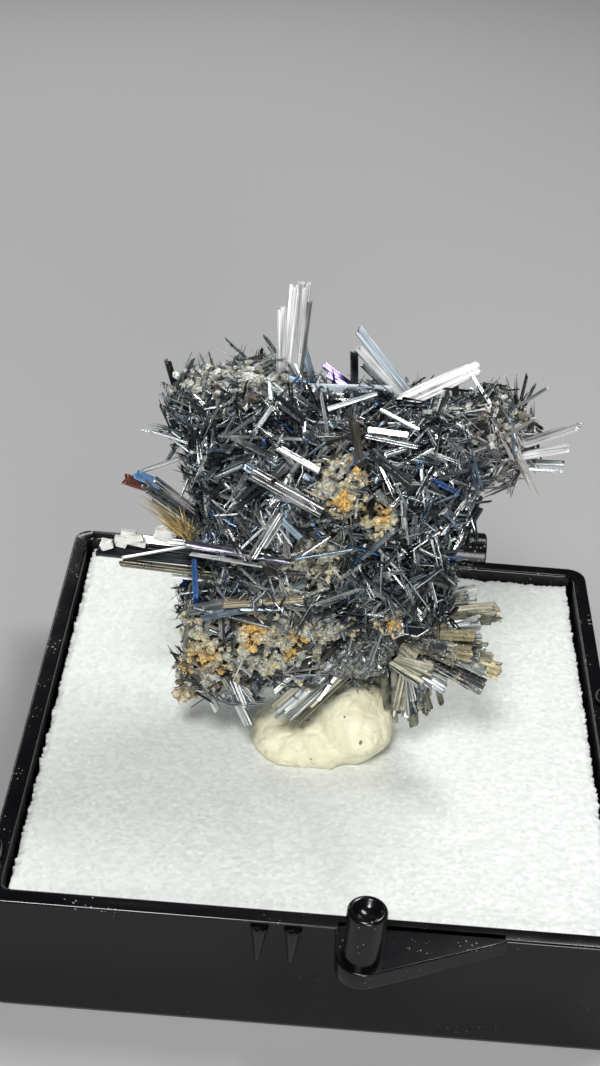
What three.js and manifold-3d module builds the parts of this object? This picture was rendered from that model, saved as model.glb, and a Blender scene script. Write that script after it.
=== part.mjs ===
// A thumbnail mineral specimen: a spray of stibnite crystals stuck with mineral tack on the white
// foam of a small black display-box base. Millimetres, +Z up. The origin is the middle of the
// base's underside; the front of the box, with its catch, faces -Y.
import * as THREE from "three";
import { mergeVertices } from "three/addons/utils/BufferGeometryUtils.js";
import Module from "manifold-3d";

const wasm = await Module();
wasm.setup();

// ---------------------------------------------------------------- driving dimensions

const BOX_SIDE = 31.8; // outer side of the square base, a 1 1/4 inch thumbnail box
const BOX_HEIGHT = 7.2; // underside to rim
const WALL = 0.9;
const FLOOR = 1.0;
const CORNER_RADIUS = 1.0;

const FOAM_CLEARANCE = 0.3; // gap between the foam and each wall
const FOAM_TOP = 6.8; // a little below the rim

const LUG_THICKNESS = 1.0;
const LUG_REACH = 2.8; // how far the catch's lug stands out of the front wall
const LUG_ROUND = 1.25; // radius of its corner, about the post
const LUG_END = 9.2; // where it meets the wall at the right
const POST_X = 2.3;
const POST_DIAMETER = 1.9;
const POST_TOP = 10.2;

const RIBS_X = [-2.55, -0.95];
const RIB_HEIGHT = 2.3;
const RIB_RADII = [0.45, 0.12]; // at the top and at the foot

const BARREL_DIAMETER = 2.5; // hinge barrels on the back wall
const BARREL_ENDS = [5.2, 9.7]; // from and to, each side of the middle
const BARREL_OFFSET = 1.1; // axis behind the back wall
const BARREL_PIN_DIAMETER = 1.2;
const BARREL_PIN_DEPTH = 1.5;

const STUD_RADIUS = 0.75; // one stud on the rim at each side
const STUD_HEIGHT = 3.0;
const STUD_OFFSET = 0.1; // axis outside the wall

const TACK_GAP = 0.3; // clearance between the tack and the crystals pressed into it

const HALF = BOX_SIDE / 2;

// ---------------------------------------------------------------- finishes

const blackPlastic = new THREE.MeshStandardMaterial({ color: 0x0d0d0e, roughness: 0.18, metalness: 0 });
const whiteFoam = new THREE.MeshStandardMaterial({ color: 0xeceeec, roughness: 0.7, metalness: 0 });
const creamTack = new THREE.MeshStandardMaterial({ color: 0xe9e4bf, roughness: 0.55, metalness: 0 });
const stibnite = new THREE.MeshStandardMaterial({ color: 0x6d7480, roughness: 0.25, metalness: 1 });

// ---------------------------------------------------------------- solids

// The closed geometry as a manifold-3d solid.
function solid(geometry) {
  const bare = geometry.index ? geometry.toNonIndexed() : geometry.clone();
  bare.deleteAttribute("normal");
  bare.deleteAttribute("uv");
  const merged = mergeVertices(bare, 1e-4);
  const mesh = new wasm.Mesh({
    numProp: 3,
    vertProperties: merged.attributes.position.array,
    triVerts: new Uint32Array(merged.index.array),
  });
  mesh.merge();
  return new wasm.Manifold(mesh);
}

// The solid as a three.js geometry.
function geometryOf(manifold) {
  const { vertProperties, triVerts, numProp } = manifold.getMesh();
  const points = new Float32Array((vertProperties.length / numProp) * 3);
  for (let i = 0; i < points.length / 3; i += 1) {
    for (let axis = 0; axis < 3; axis += 1) {
      points[3 * i + axis] = vertProperties[numProp * i + axis];
    }
  }
  const geometry = new THREE.BufferGeometry();
  geometry.setAttribute("position", new THREE.BufferAttribute(points, 3));
  geometry.setIndex(new THREE.BufferAttribute(triVerts, 1));
  geometry.computeVertexNormals();
  return geometry;
}

function join(solids) {
  return solids.reduce((whole, next) => whole.add(next));
}

// A block with rounded upright edges, centred on the origin, from zLow to zHigh.
function roundedBlock(side, radius, zLow, zHigh) {
  const h = side / 2;
  const outline = new THREE.Shape();
  outline.moveTo(-h + radius, -h);
  outline.lineTo(h - radius, -h);
  outline.absarc(h - radius, -h + radius, radius, -Math.PI / 2, 0);
  outline.absarc(h - radius, h - radius, radius, 0, Math.PI / 2);
  outline.absarc(-h + radius, h - radius, radius, Math.PI / 2, Math.PI);
  outline.absarc(-h + radius, -h + radius, radius, Math.PI, 1.5 * Math.PI);
  const options = { depth: zHigh - zLow, bevelEnabled: false, curveSegments: 6 };
  return solid(new THREE.ExtrudeGeometry(outline, options).translate(0, 0, zLow));
}

// ---------------------------------------------------------------- box base, one moulding

// The catch's lug: a thin shelf that starts square at the left, rounds the post and runs back
// to the wall.
function lug() {
  const centreY = -HALF - LUG_REACH + LUG_ROUND;
  const tangent = 1.58 * Math.PI;
  const outline = new THREE.Shape();
  outline.moveTo(POST_X - LUG_ROUND, -HALF + WALL / 2);
  outline.lineTo(POST_X - LUG_ROUND, centreY);
  outline.absarc(POST_X, centreY, LUG_ROUND, Math.PI, tangent);
  outline.lineTo(LUG_END, -HALF);
  outline.lineTo(LUG_END, -HALF + WALL / 2);
  outline.closePath();
  const options = { depth: LUG_THICKNESS, bevelEnabled: false, curveSegments: 8 };
  const shelf = new THREE.ExtrudeGeometry(outline, options);
  return solid(shelf.translate(0, 0, BOX_HEIGHT - LUG_THICKNESS));
}

// The round post on the lug, with a rolled lip and a dimple in its top.
function post() {
  const r = POST_DIAMETER / 2;
  const foot = BOX_HEIGHT - LUG_THICKNESS + 0.2;
  const profile = [
    [0, foot],
    [r, foot],
    [r, POST_TOP - 0.35],
    [r - 0.12, POST_TOP - 0.08],
    [r - 0.3, POST_TOP],
    [r - 0.45, POST_TOP - 0.08],
    [r - 0.55, POST_TOP - 0.35],
    [0, POST_TOP - 0.5],
  ].map(([x, y]) => new THREE.Vector2(x, y));
  const turned = new THREE.LatheGeometry(profile, 24).rotateX(Math.PI / 2);
  return solid(turned.translate(POST_X, -HALF - LUG_REACH + LUG_ROUND, 0));
}

// A small rib on the front wall that tapers away downwards.
function rib(x) {
  const cone = new THREE.CylinderGeometry(...RIB_RADII, RIB_HEIGHT, 12).rotateX(Math.PI / 2);
  return solid(cone.translate(x, -HALF, BOX_HEIGHT - 0.2 - RIB_HEIGHT / 2));
}

// A hinge barrel with the blind hole that takes the lid's pin in its outer end.
function hingeBarrel(side) {
  const [inner, outer] = BARREL_ENDS;
  const length = outer - inner;
  const middle = side * (inner + length / 2);
  const y = HALF + BARREL_OFFSET;
  const z = BOX_HEIGHT - 0.1;
  const rod = (diameter, reach) =>
    new THREE.CylinderGeometry(diameter / 2, diameter / 2, reach, 24).rotateZ(Math.PI / 2);
  const barrel = rod(BARREL_DIAMETER, length).translate(middle, y, z);
  const web = new THREE.BoxGeometry(length, 1.4, 2.0).translate(middle, y - 0.8, z - 1.1);
  const hole = rod(BARREL_PIN_DIAMETER, 2 * BARREL_PIN_DEPTH).translate(side * outer, y, z);
  return solid(barrel).add(solid(web)).subtract(solid(hole));
}

// A round stud on the side of the rim: side is -1 at the left, 1 at the right.
function stud(side, y, top) {
  const round = new THREE.CylinderGeometry(STUD_RADIUS, STUD_RADIUS, STUD_HEIGHT, 20);
  const x = side * (HALF + STUD_OFFSET);
  return solid(round.rotateX(Math.PI / 2).translate(x, y, top - STUD_HEIGHT / 2));
}

function boxBase() {
  const tray = roundedBlock(BOX_SIDE, CORNER_RADIUS, 0, BOX_HEIGHT);
  const cavity = roundedBlock(BOX_SIDE - 2 * WALL, CORNER_RADIUS - 0.4, FLOOR, BOX_HEIGHT + 5);
  const ribs = RIBS_X.map((x) => rib(x));
  const barrels = [hingeBarrel(-1), hingeBarrel(1)];
  const studs = [stud(-1, -13, 8.0), stud(1, 3.0, 7.6)];
  const trims = join([lug(), post(), ...ribs, ...barrels, ...studs]);
  return tray.add(trims).subtract(cavity);
}

// ---------------------------------------------------------------- foam

function foamInsert() {
  const side = BOX_SIDE - 2 * WALL - 2 * FOAM_CLEARANCE;
  return roundedBlock(side, 0.5, FLOOR, FOAM_TOP);
}

// ---------------------------------------------------------------- tack

// A rounded lump: a sphere stretched to three radii.
function lump([x, y, z], [rx, ry, rz]) {
  const ball = new THREE.IcosahedronGeometry(1, 4).scale(rx, ry, rz);
  return solid(ball.translate(x, y, z));
}

// The pressed blob: a low lobe at the left, a taller one at the right, flat on the foam.
// margin grows it all round, to cut its seat into the crystals.
function tackLobes(margin) {
  const lobes = [
    [[1.6, -1.6, 8.3], [2.2, 2.8, 2.2]],
    [[-1.5, -2.0, 7.2], [2.4, 2.5, 1.3]],
    [[0.0, -1.9, 7.4], [2.3, 2.6, 1.4]],
    [[0.6, 0.9, 7.9], [3.0, 2.4, 1.9]],
  ];
  return join(lobes.map(([middle, radii]) => lump(middle, radii.map((r) => r + margin))));
}

function mineralTack() {
  const aboveFoam = roundedBlock(BOX_SIDE, CORNER_RADIUS, FOAM_TOP, FOAM_TOP + 20);
  return tackLobes(0).intersect(aboveFoam);
}

// ---------------------------------------------------------------- crystals

// The matted mass behind the blades, as overlapping lumps: [middle, radii].
const MASS = [
  [[-4.2, 0.0, 22.9], [4.0, 3.8, 3.2]],
  [[-6.2, 1.4, 24.4], [2.6, 2.3, 1.8]],
  [[1.5, -0.1, 22.8], [4.4, 3.8, 3.5]],
  [[6.1, 0.9, 24.7], [2.8, 2.3, 1.9]],
  [[-1.1, -0.5, 18.2], [5.5, 4.1, 3.9]],
  [[-3.9, -1.2, 14.2], [3.8, 3.3, 2.9]],
  [[-5.8, -1.5, 12.1], [2.2, 2.1, 2.1]],
  [[2.8, 0.0, 14.5], [3.4, 2.9, 2.8]],
  [[0.4, 0.2, 11.8], [3.2, 2.5, 2.1]],
];

// The crystals that stand out of the mass: [root, tip, width, thickness].
const BLADES = {
  tallBundle: [
    [[-3.4, 2.9, 25.2], [-3.3, 3.4, 31.0], 0.6, 0.35],
    [[-3.0, 2.7, 25.2], [-2.9, 3.3, 31.3], 0.65, 0.35],
    [[-3.7, 2.8, 25.2], [-3.9, 3.2, 29.9], 0.4, 0.3],
    [[-2.8, 2.6, 25.2], [-2.6, 3.0, 30.4], 0.3, 0.25],
  ],
  topPrisms: [
    [[3.9, 1.8, 24.9], [-0.1, 3.4, 28.9], 0.45, 0.35],
    [[3.2, 1.7, 25.3], [-0.1, 2.8, 28.2], 0.4, 0.3],
    [[0.2, 1.6, 25.6], [-1.7, 2.6, 27.2], 0.3, 0.25],
    [[1.8, 1.6, 26.0], [-2.3, 0.9, 26.7], 0.36, 0.25],
    [[1.6, 1.0, 25.8], [6.1, 2.6, 27.8], 0.8, 0.35],
    [[6.3, 2.4, 25.0], [7.2, 1.9, 27.2], 0.55, 0.4],
    [[7.4, 1.6, 25.2], [9.4, 1.3, 27.6], 0.25, 0.2],
  ],
  rightSpray: [
    [[4.8, 0.7, 22.8], [11.1, -0.4, 26.6], 0.55, 0.3],
    [[5.0, 0.6, 22.9], [10.6, -0.6, 25.4], 0.4, 0.3],
    [[5.0, 0.6, 23.6], [10.7, 0.2, 24.0], 0.3, 0.25],
    [[4.6, 0.4, 23.4], [10.6, -0.4, 23.9], 0.3, 0.25],
    [[4.0, 0.2, 22.0], [8.5, -0.2, 24.1], 0.5, 0.35],
  ],
  leftSpray: [
    [[-7.6, 1.5, 21.6], [-9.6, 2.2, 25.7], 0.42, 0.3],
    [[-5.6, -1.0, 18.8], [-9.5, -2.2, 22.7], 0.4, 0.3],
    [[-5.8, -1.1, 18.7], [-10.5, -2.5, 23.1], 0.45, 0.35],
    [[-5.6, -1.2, 18.4], [-10.9, -2.6, 22.8], 0.5, 0.35],
    [[-6.4, -0.8, 18.6], [-9.5, -1.8, 21.3], 0.3, 0.25],
    [[-6.9, -0.4, 21.4], [-10.2, -1.2, 22.4], 0.3, 0.2],
    [[-4.9, -2.4, 18.0], [-12.1, -3.6, 19.1], 0.48, 0.4],
    [[-5.2, -2.1, 18.6], [-10.1, -2.8, 19.3], 0.36, 0.3],
    [[-4.8, -2.7, 17.6], [-11.4, -3.5, 18.6], 0.36, 0.3],
    [[-5.0, -2.6, 17.2], [-8.4, -3.2, 17.7], 0.25, 0.2],
  ],
  frontPrisms: [
    [[-2.5, -4.5, 20.0], [-7.7, -4.4, 20.5], 0.36, 0.3],
    [[-1.0, -4.4, 23.0], [-4.7, -4.6, 25.0], 0.58, 0.4],
    [[-2.7, -4.2, 23.4], [-5.1, -4.2, 25.2], 0.34, 0.3],
    [[-3.0, -4.2, 23.2], [-4.4, -5.6, 20.7], 0.36, 0.3],
    [[0.6, -4.6, 21.5], [-2.3, -5.8, 21.1], 0.3, 0.25],
    [[3.0, -3.6, 22.8], [0.8, -5.4, 21.1], 0.3, 0.25],
    [[-1.9, -4.2, 18.6], [-7.4, -4.2, 16.3], 0.42, 0.35],
    [[-1.6, -4.2, 18.1], [-6.7, -4.6, 16.3], 0.36, 0.3],
    [[-3.0, -4.2, 16.4], [-7.2, -4.2, 16.7], 0.3, 0.25],
  ],
  bottomFan: [
    [[0.6, -2.6, 13.6], [-3.3, -4.8, 10.6], 0.4, 0.3],
    [[0.8, -2.4, 13.1], [-2.8, -4.6, 10.4], 0.4, 0.3],
    [[1.0, -2.2, 12.6], [-2.1, -4.5, 10.3], 0.4, 0.3],
    [[-6.3, -2.4, 12.6], [-5.6, -3.6, 9.5], 0.36, 0.3],
    [[-5.0, -2.6, 12.6], [-3.9, -4.2, 9.4], 0.42, 0.3],
  ],
  rosette: [
    [[2.9, -1.4, 13.5], [8.7, -3.2, 13.6], 0.6, 0.35],
    [[2.8, -1.4, 13.9], [8.4, -2.6, 14.4], 0.55, 0.35],
    [[2.7, -1.6, 13.5], [7.8, -3.8, 13.1], 0.55, 0.35],
    [[2.6, -1.8, 13.4], [6.7, -4.4, 13.2], 0.6, 0.35],
    [[2.7, -1.2, 14.0], [7.8, -2.2, 14.8], 0.55, 0.35],
    [[3.1, -0.6, 14.1], [7.6, -1.4, 15.1], 0.55, 0.35],
    [[4.0, -0.6, 15.6], [8.3, -1.0, 15.5], 0.8, 0.5],
    [[3.9, 0.4, 16.0], [7.4, 0.2, 15.6], 0.45, 0.35],
  ],
  chisels: [
    [[3.4, -1.4, 13.6], [4.4, -3.0, 9.1], 0.42, 0.3],
    [[4.3, -1.2, 13.6], [5.0, -2.8, 8.8], 0.85, 0.5],
    [[5.0, -1.0, 13.4], [5.7, -2.4, 9.0], 0.42, 0.35],
    [[5.2, -0.8, 13.0], [6.3, -1.8, 9.8], 0.34, 0.3],
  ],
};

const STRAY_NEEDLES = 130; // shorter crystals scattered over the mass
const SEED = 7;

// A repeatable random number generator, 0 to 1.
function randomSource(seed) {
  let state = seed;
  return () => {
    state = (state * 16807) % 2147483647;
    return state / 2147483647;
  };
}

// A rough block of matted crystals: a ball squared off towards a box, with an uneven surface.
function roughBlock([x, y, z], radii) {
  const ball = new THREE.IcosahedronGeometry(1, 2);
  const points = ball.getAttribute("position");
  const point = new THREE.Vector3();
  for (let i = 0; i < points.count; i += 1) {
    point.fromBufferAttribute(points, i);
    const flattest = Math.max(Math.abs(point.x), Math.abs(point.y), Math.abs(point.z));
    const squared = 0.55 + 0.45 / flattest;
    const uneven = 1 + 0.07 * Math.sin(11 * point.x + 17 * point.y + 23 * point.z + x);
    point.multiplyScalar(squared * uneven);
    points.setXYZ(i, x + radii[0] * point.x, y + radii[1] * point.y, z + radii[2] * point.z);
  }
  return solid(ball);
}

// A six-sided crystal from root to tip, wider than thick, with a pointed end.
function blade([root, tip, width, thickness], turn = 0.4) {
  const from = new THREE.Vector3(...root);
  const axis = new THREE.Vector3(...tip).sub(from);
  const length = axis.length();
  const pointLength = Math.min(1.2 * width, length / 3);
  const radius = 1 / Math.sqrt(3);
  const shaft = [
    [0, 0],
    [radius, 0],
    [radius, length - pointLength],
    [0, length],
  ].map(([x, y]) => new THREE.Vector2(x, y));
  const up = new THREE.Vector3(0, 1, 0);
  const tilt = new THREE.Quaternion().setFromUnitVectors(up, axis.normalize());
  const crystal = new THREE.LatheGeometry(shaft, 6)
    .scale(width, 1, thickness)
    .rotateY(turn)
    .applyQuaternion(tilt)
    .translate(from.x, from.y, from.z);
  return solid(crystal);
}

// Short crystals that start inside a lump of the mass and lean out through its surface.
function strayNeedles() {
  const random = randomSource(SEED);
  const spread = () => 2 * random() - 1;
  return Array.from({ length: STRAY_NEEDLES }, () => {
    const [middle, radii] = MASS[Math.floor(random() * MASS.length)];
    const out = new THREE.Vector3(spread(), spread(), spread()).normalize();
    const lean = new THREE.Vector3(spread(), spread(), spread());
    const root = middle.map((c, i) => c + 0.8 * radii[i] * out.getComponent(i));
    const tip = root.map((c, i) => c + 1.5 * out.getComponent(i) + 1.3 * lean.getComponent(i));
    return blade([root, tip, 0.25 + 0.2 * random(), 0.2 + 0.1 * random()], 3 * random());
  });
}

function stibniteCluster() {
  const mass = MASS.map(([middle, radii]) => roughBlock(middle, radii));
  const blades = Object.values(BLADES).flat().map((row) => blade(row));
  const grown = join([...mass, ...blades, ...strayNeedles()]);
  const [body] = grown
    .subtract(tackLobes(TACK_GAP))
    .decompose()
    .sort((a, b) => b.volume() - a.volume());
  return body;
}

// ---------------------------------------------------------------- the object

function piece(name, manifold, material) {
  const mesh = new THREE.Mesh(geometryOf(manifold), material);
  mesh.name = name;
  return mesh;
}

const specimenInBox = new THREE.Group();
specimenInBox.add(piece("box_base", boxBase(), blackPlastic));
specimenInBox.add(piece("foam_insert", foamInsert(), whiteFoam));
specimenInBox.add(piece("mineral_tack", mineralTack(), creamTack));
specimenInBox.add(piece("stibnite_cluster", stibniteCluster(), stibnite));

export default specimenInBox;
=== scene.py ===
import math
import random

import bmesh
import bpy
import numpy as np
from mathutils import Matrix, Vector, noise
from mathutils.bvhtree import BVHTree
from mathutils.kdtree import KDTree


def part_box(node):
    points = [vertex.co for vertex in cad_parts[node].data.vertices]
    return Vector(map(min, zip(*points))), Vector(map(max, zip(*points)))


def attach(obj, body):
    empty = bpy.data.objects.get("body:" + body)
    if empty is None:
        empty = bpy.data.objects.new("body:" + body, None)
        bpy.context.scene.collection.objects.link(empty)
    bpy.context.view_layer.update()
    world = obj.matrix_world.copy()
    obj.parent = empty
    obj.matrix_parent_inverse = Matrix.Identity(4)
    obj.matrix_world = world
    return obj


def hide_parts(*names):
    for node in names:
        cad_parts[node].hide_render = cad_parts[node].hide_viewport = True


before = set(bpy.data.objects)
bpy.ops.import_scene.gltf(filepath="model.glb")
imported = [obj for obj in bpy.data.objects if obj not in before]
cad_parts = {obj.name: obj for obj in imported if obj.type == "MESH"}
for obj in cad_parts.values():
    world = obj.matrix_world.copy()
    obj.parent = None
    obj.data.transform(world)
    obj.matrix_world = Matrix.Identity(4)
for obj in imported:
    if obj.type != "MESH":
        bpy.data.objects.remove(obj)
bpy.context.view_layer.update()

MM = 0.001


# ---------------------------------------------------------------- studio
# A plain pale floor, soft boxes over a dim room, and the camera looking down on the front of
# the box from about 34 degrees. None of it is part of the object.

FLOOR_SIDE = 1.2
CAMERA_PLACE = Vector((-2.56, -73.35, 67.39)) * MM
CAMERA_DOWN = math.radians(33.55)
CAMERA_HEADING = math.radians(0.35)
CAMERA_ROLL = math.radians(4.84)
CAMERA_LENS = 58.16

scene = bpy.context.scene
scene.view_settings.view_transform = "Standard"

camera_data = bpy.data.cameras.new("camera")
camera_data.lens = CAMERA_LENS
camera_data.clip_start = 0.002
camera = bpy.data.objects.new("camera", camera_data)
camera.matrix_world = (
    Matrix.Translation(CAMERA_PLACE)
    @ Matrix.Rotation(-CAMERA_HEADING, 4, "Z")
    @ Matrix.Rotation(math.pi / 2 - CAMERA_DOWN, 4, "X")
    @ Matrix.Rotation(CAMERA_ROLL, 4, "Z")
)
scene.collection.objects.link(camera)
scene.camera = camera


def soft_box(name, place, target, size, watts):
    """A rectangular area light, with its place, aim and size in millimetres."""
    data = bpy.data.lights.new(name, "AREA")
    data.shape = "RECTANGLE"
    data.size, data.size_y = size[0] * MM, size[1] * MM
    data.energy = watts
    lamp = bpy.data.objects.new(name, data)
    lamp.location = Vector(place) * MM
    aim = (Vector(target) - Vector(place)).to_track_quat("-Z", "Y")
    lamp.rotation_euler = aim.to_euler()
    scene.collection.objects.link(lamp)


soft_box("key_light", (-30, -125, 185), (0, 0, 15), (50, 50), 0.36)
soft_box("top_light", (80, 70, 200), (0, 0, 10), (110, 30), 0.26)
soft_box("front_fill", (40, -200, 60), (0, 0, 14), (60, 80), 0.20)
soft_box("back_strip", (-60, 150, 70), (0, 0, 18), (160, 14), 0.06)

world = bpy.data.worlds.new("dim_room")
world.use_nodes = True
world.node_tree.nodes["Background"].inputs["Color"].default_value = (0.5, 0.53, 0.58, 1)
world.node_tree.nodes["Background"].inputs["Strength"].default_value = 0.04
scene.world = world


def new_material(name):
    """An empty node material with its output and one Principled shader, both returned."""
    material = bpy.data.materials.new(name)
    material.use_nodes = True
    tree = material.node_tree
    return material, tree, tree.nodes["Principled BSDF"]


def add_piece(name, mesh, material, smooth=False):
    """An object at the origin from a finished mesh, with its material."""
    mesh.polygons.foreach_set("use_smooth", [smooth] * len(mesh.polygons))
    mesh.materials.clear()
    mesh.materials.append(material)
    piece = bpy.data.objects.new(name, mesh)
    scene.collection.objects.link(piece)
    return piece


def add_mesh(name, points, faces, material, smooth=False):
    """The same from points in millimetres and faces."""
    mesh = bpy.data.meshes.new(name)
    mesh.from_pydata([Vector(p) * MM for p in points], [], faces)
    return add_piece(name, mesh, material, smooth)


floor_material, tree, shader = new_material("pale_floor")
shader.inputs["Base Color"].default_value = (0.40, 0.40, 0.40, 1)
shader.inputs["Roughness"].default_value = 0.85
side = FLOOR_SIDE / 2 / MM
floor = add_mesh(
    "floor",
    [(-side, -side, 0), (side, -side, 0), (side, side, 0), (-side, side, 0)],
    [(0, 1, 2, 3)],
    floor_material,
)


# ---------------------------------------------------------------- box base
# The base of a hinged thumbnail box, moulded in one shot from glossy black polystyrene: the
# tray, the catch lug with its post, two ribs, two hinge barrels and two studs on the rim.

BOX_SIDE = 31.8
HALF = BOX_SIDE / 2
RIM = 7.2
WALL = 0.9
FLOOR_THICKNESS = 1.0
LUG_THICKNESS = 1.0
LUG_REACH = 2.8
LUG_ROUND = 1.25
LUG_END = 9.2  # x where the lug runs back into the wall
POST_X = 2.3
POST_RADIUS = 0.95
POST_TOP = 10.2
RIBS_X = (-2.55, -0.95)
BARREL_RADIUS = 1.25
BARREL_START = 5.2  # x of its inner end
BARREL_LENGTH = 4.5
PIN_HOLE = 0.6
PIN_DEPTH = 1.5
STUD_RADIUS = 0.75
STUD_HEIGHT = 3.0


def rounded_square(side, radius, z, steps=5):
    """One ring of a square with rounded corners, counted round from above."""
    h = side / 2 - radius
    ring = []
    for corner in range(4):
        cx, cy = ((h, h), (-h, h), (-h, -h), (h, -h))[corner]
        for k in range(steps + 1):
            a = math.pi / 2 * (corner + k / steps)
            ring.append((cx + radius * math.cos(a), cy + radius * math.sin(a), z))
    return ring


def loft(rings, closed_ends=True):
    """Points and faces of a skin over equal rings, counted round from above, lowest first."""
    count = len(rings[0])
    points = [p for ring in rings for p in ring]
    faces = []
    for r in range(len(rings) - 1):
        for k in range(count):
            a, b = r * count + k, r * count + (k + 1) % count
            faces.append((a, b, b + count, a + count))
    if closed_ends:
        faces.append(tuple(reversed(range(count))))
        faces.append(tuple(range(len(points) - count, len(points))))
    return points, faces


def turned(profile, place, axis="Z", steps=40):
    """A solid of revolution: (radius, height) pairs from one end on the axis to the other."""
    points, faces = loft([
        [(r * math.cos(2 * math.pi * k / steps), r * math.sin(2 * math.pi * k / steps), h)
         for k in range(steps)]
        for r, h in profile
    ])
    turn = Matrix.Rotation(math.pi / 2, 3, "Y") if axis == "X" else Matrix.Identity(3)
    return [turn @ Vector(p) + Vector(place) for p in points], faces


def rounded_rod(radius, length, edge, dimple):
    """Profile of a rod with eased edges and a dimple in its far end."""
    profile = [(0.001, 0), (radius - edge, 0), (radius - 0.3 * edge, 0.3 * edge), (radius, edge)]
    for k in range(6):
        a = math.pi / 2 * k / 5
        profile.append((radius - edge + edge * math.cos(a), length - edge + edge * math.sin(a)))
    inner = radius - 1.6 * edge
    profile += [(inner, length - 0.15 * dimple), (0.8 * inner, length - 0.8 * dimple)]
    return profile + [(0.4 * inner, length - dimple), (0.001, length - 1.05 * dimple)]


def joined(parts):
    """Several (points, faces) as one."""
    points, faces = [], []
    for more_points, more_faces in parts:
        start = len(points)
        points += [tuple(p) for p in more_points]
        faces += [tuple(start + i for i in face) for face in more_faces]
    return points, faces


def tray():
    """The open box: outside, rim with eased edges, inside and floor in one skin."""
    cavity = BOX_SIDE - 2 * WALL
    edge = 0.14
    return loft([
        rounded_square(BOX_SIDE - 0.5, 0.8, 0),
        rounded_square(BOX_SIDE - 0.14, 0.95, 0.08),
        rounded_square(BOX_SIDE, 1.0, 0.3),
        rounded_square(BOX_SIDE, 1.0, RIM - edge),
        rounded_square(BOX_SIDE - 0.6 * edge, 0.98, RIM - 0.3 * edge),
        rounded_square(BOX_SIDE - 2 * edge, 0.9, RIM),
        rounded_square(cavity + 2 * edge, 0.7, RIM),
        rounded_square(cavity + 0.6 * edge, 0.64, RIM - 0.3 * edge),
        rounded_square(cavity, 0.6, RIM - edge),
        rounded_square(cavity, 0.6, FLOOR_THICKNESS + 0.2),
        rounded_square(cavity - 0.4, 0.4, FLOOR_THICKNESS),
    ])


def lug():
    """The catch shelf, square at the left, round by the post and running back to the wall."""
    front = -HALF - LUG_REACH
    left = POST_X - LUG_ROUND
    outline = [(left, -HALF + 0.4), (left, front + LUG_ROUND)]
    for k in range(1, 11):
        a = math.pi * (1 + 0.58 * k / 10)
        outline.append((POST_X + LUG_ROUND * math.cos(a), front + LUG_ROUND * (1 + math.sin(a))))
    outline += [(LUG_END, -HALF), (LUG_END, -HALF + 0.4)]
    middle = Vector((4.2, -HALF + 0.3))
    rings = []
    for inset, z in ((0.1, 0), (0.02, 0.04), (0, 0.1), (0, 0.88), (0.03, 0.96), (0.1, 1.0)):
        ring = []
        for x, y in outline:
            inward = (middle - Vector((x, y))).normalized() * inset
            ring.append((x + inward.x, y + inward.y, RIM - LUG_THICKNESS + z))
        rings.append(ring)
    return loft(rings)


def rib(x):
    """A half cone on the front wall, tapering away downwards, with a cupped top."""
    profile = [(0.001, 0), (0.1, 0), (0.14, 0.1), (0.42, 2.1), (0.46, 2.22), (0.42, 2.3), (0.3, 2.22)]
    return turned(profile + [(0.001, 2.12)], (x, -HALF, RIM - 2.5), steps=20)


def hinge_barrel(direction):
    """A barrel on the back wall with the blind pin hole in its outer end, and its web."""
    radius, length, bottom = BARREL_RADIUS, BARREL_LENGTH, BARREL_LENGTH - PIN_DEPTH
    profile = [(0.001, 0), (radius - 0.1, 0), (radius, 0.1), (radius, length - 0.1)]
    profile += [(radius - 0.1, length), (PIN_HOLE, length), (PIN_HOLE, bottom), (0.001, bottom)]
    points, faces = turned(profile, (0, 0, 0), axis="X")
    points = [(direction * (BARREL_START + x), HALF + 1.1 + y, RIM - 0.1 + z) for x, y, z in points]
    if direction < 0:
        faces = [tuple(reversed(face)) for face in faces]
    x0, x1 = sorted((direction * (BARREL_START + 0.1), direction * (BARREL_START + length - 0.1)))
    y0 = HALF - 0.3
    web = loft([
        [(x0, y0, z), (x1, y0, z), (x1, y0 + depth, z), (x0, y0 + depth, z)]
        for z, depth in ((RIM - 2.2, 0.5), (RIM - 0.4, 1.3))
    ])
    return joined([(points, faces), web])


base_parts = [tray(), lug(), *map(rib, RIBS_X), hinge_barrel(1), hinge_barrel(-1)]
post_foot = RIM - 0.8
for radius, foot, height, edge, dimple in (
    (POST_RADIUS, (POST_X, -HALF - LUG_REACH + LUG_ROUND, post_foot), POST_TOP - post_foot, 0.2, 0.4),
    (STUD_RADIUS, (-HALF - 0.1, -13, 5.0), STUD_HEIGHT, 0.14, 0.12),
    (STUD_RADIUS, (HALF + 0.1, 3.0, 4.6), STUD_HEIGHT, 0.14, 0.12),
):
    base_parts.append(turned(rounded_rod(radius, height, edge, dimple), foot))


def feed(tree, node, inputs):
    """Puts a value, or a link from another node's socket, on each of the node's inputs."""
    for key, value in inputs.items():
        if isinstance(value, bpy.types.NodeSocket):
            tree.links.new(value, node.inputs[key])
        else:
            node.inputs[key].default_value = value


def add_node(tree, kind, inputs=None, **settings):
    """A new node with its settings and its inputs."""
    node = tree.nodes.new(kind)
    for name, value in settings.items():
        setattr(node, name, value)
    feed(tree, node, inputs or {})
    return node


def own_place(tree):
    """The place of each point of the surface in the piece's own coordinates."""
    return tree.nodes.new("ShaderNodeTexCoord").outputs["Object"]


def add_noise(tree, place, scale, detail):
    return add_node(tree, "ShaderNodeTexNoise", {"Vector": place, "Scale": scale, "Detail": detail})


def add_cells(tree, place, scale):
    return add_node(tree, "ShaderNodeTexVoronoi", {"Vector": place, "Scale": scale})


def add_math(tree, operation, *values):
    """The result of a Math node on values or sockets."""
    return add_node(tree, "ShaderNodeMath", dict(enumerate(values)), operation=operation).outputs[0]


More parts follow.
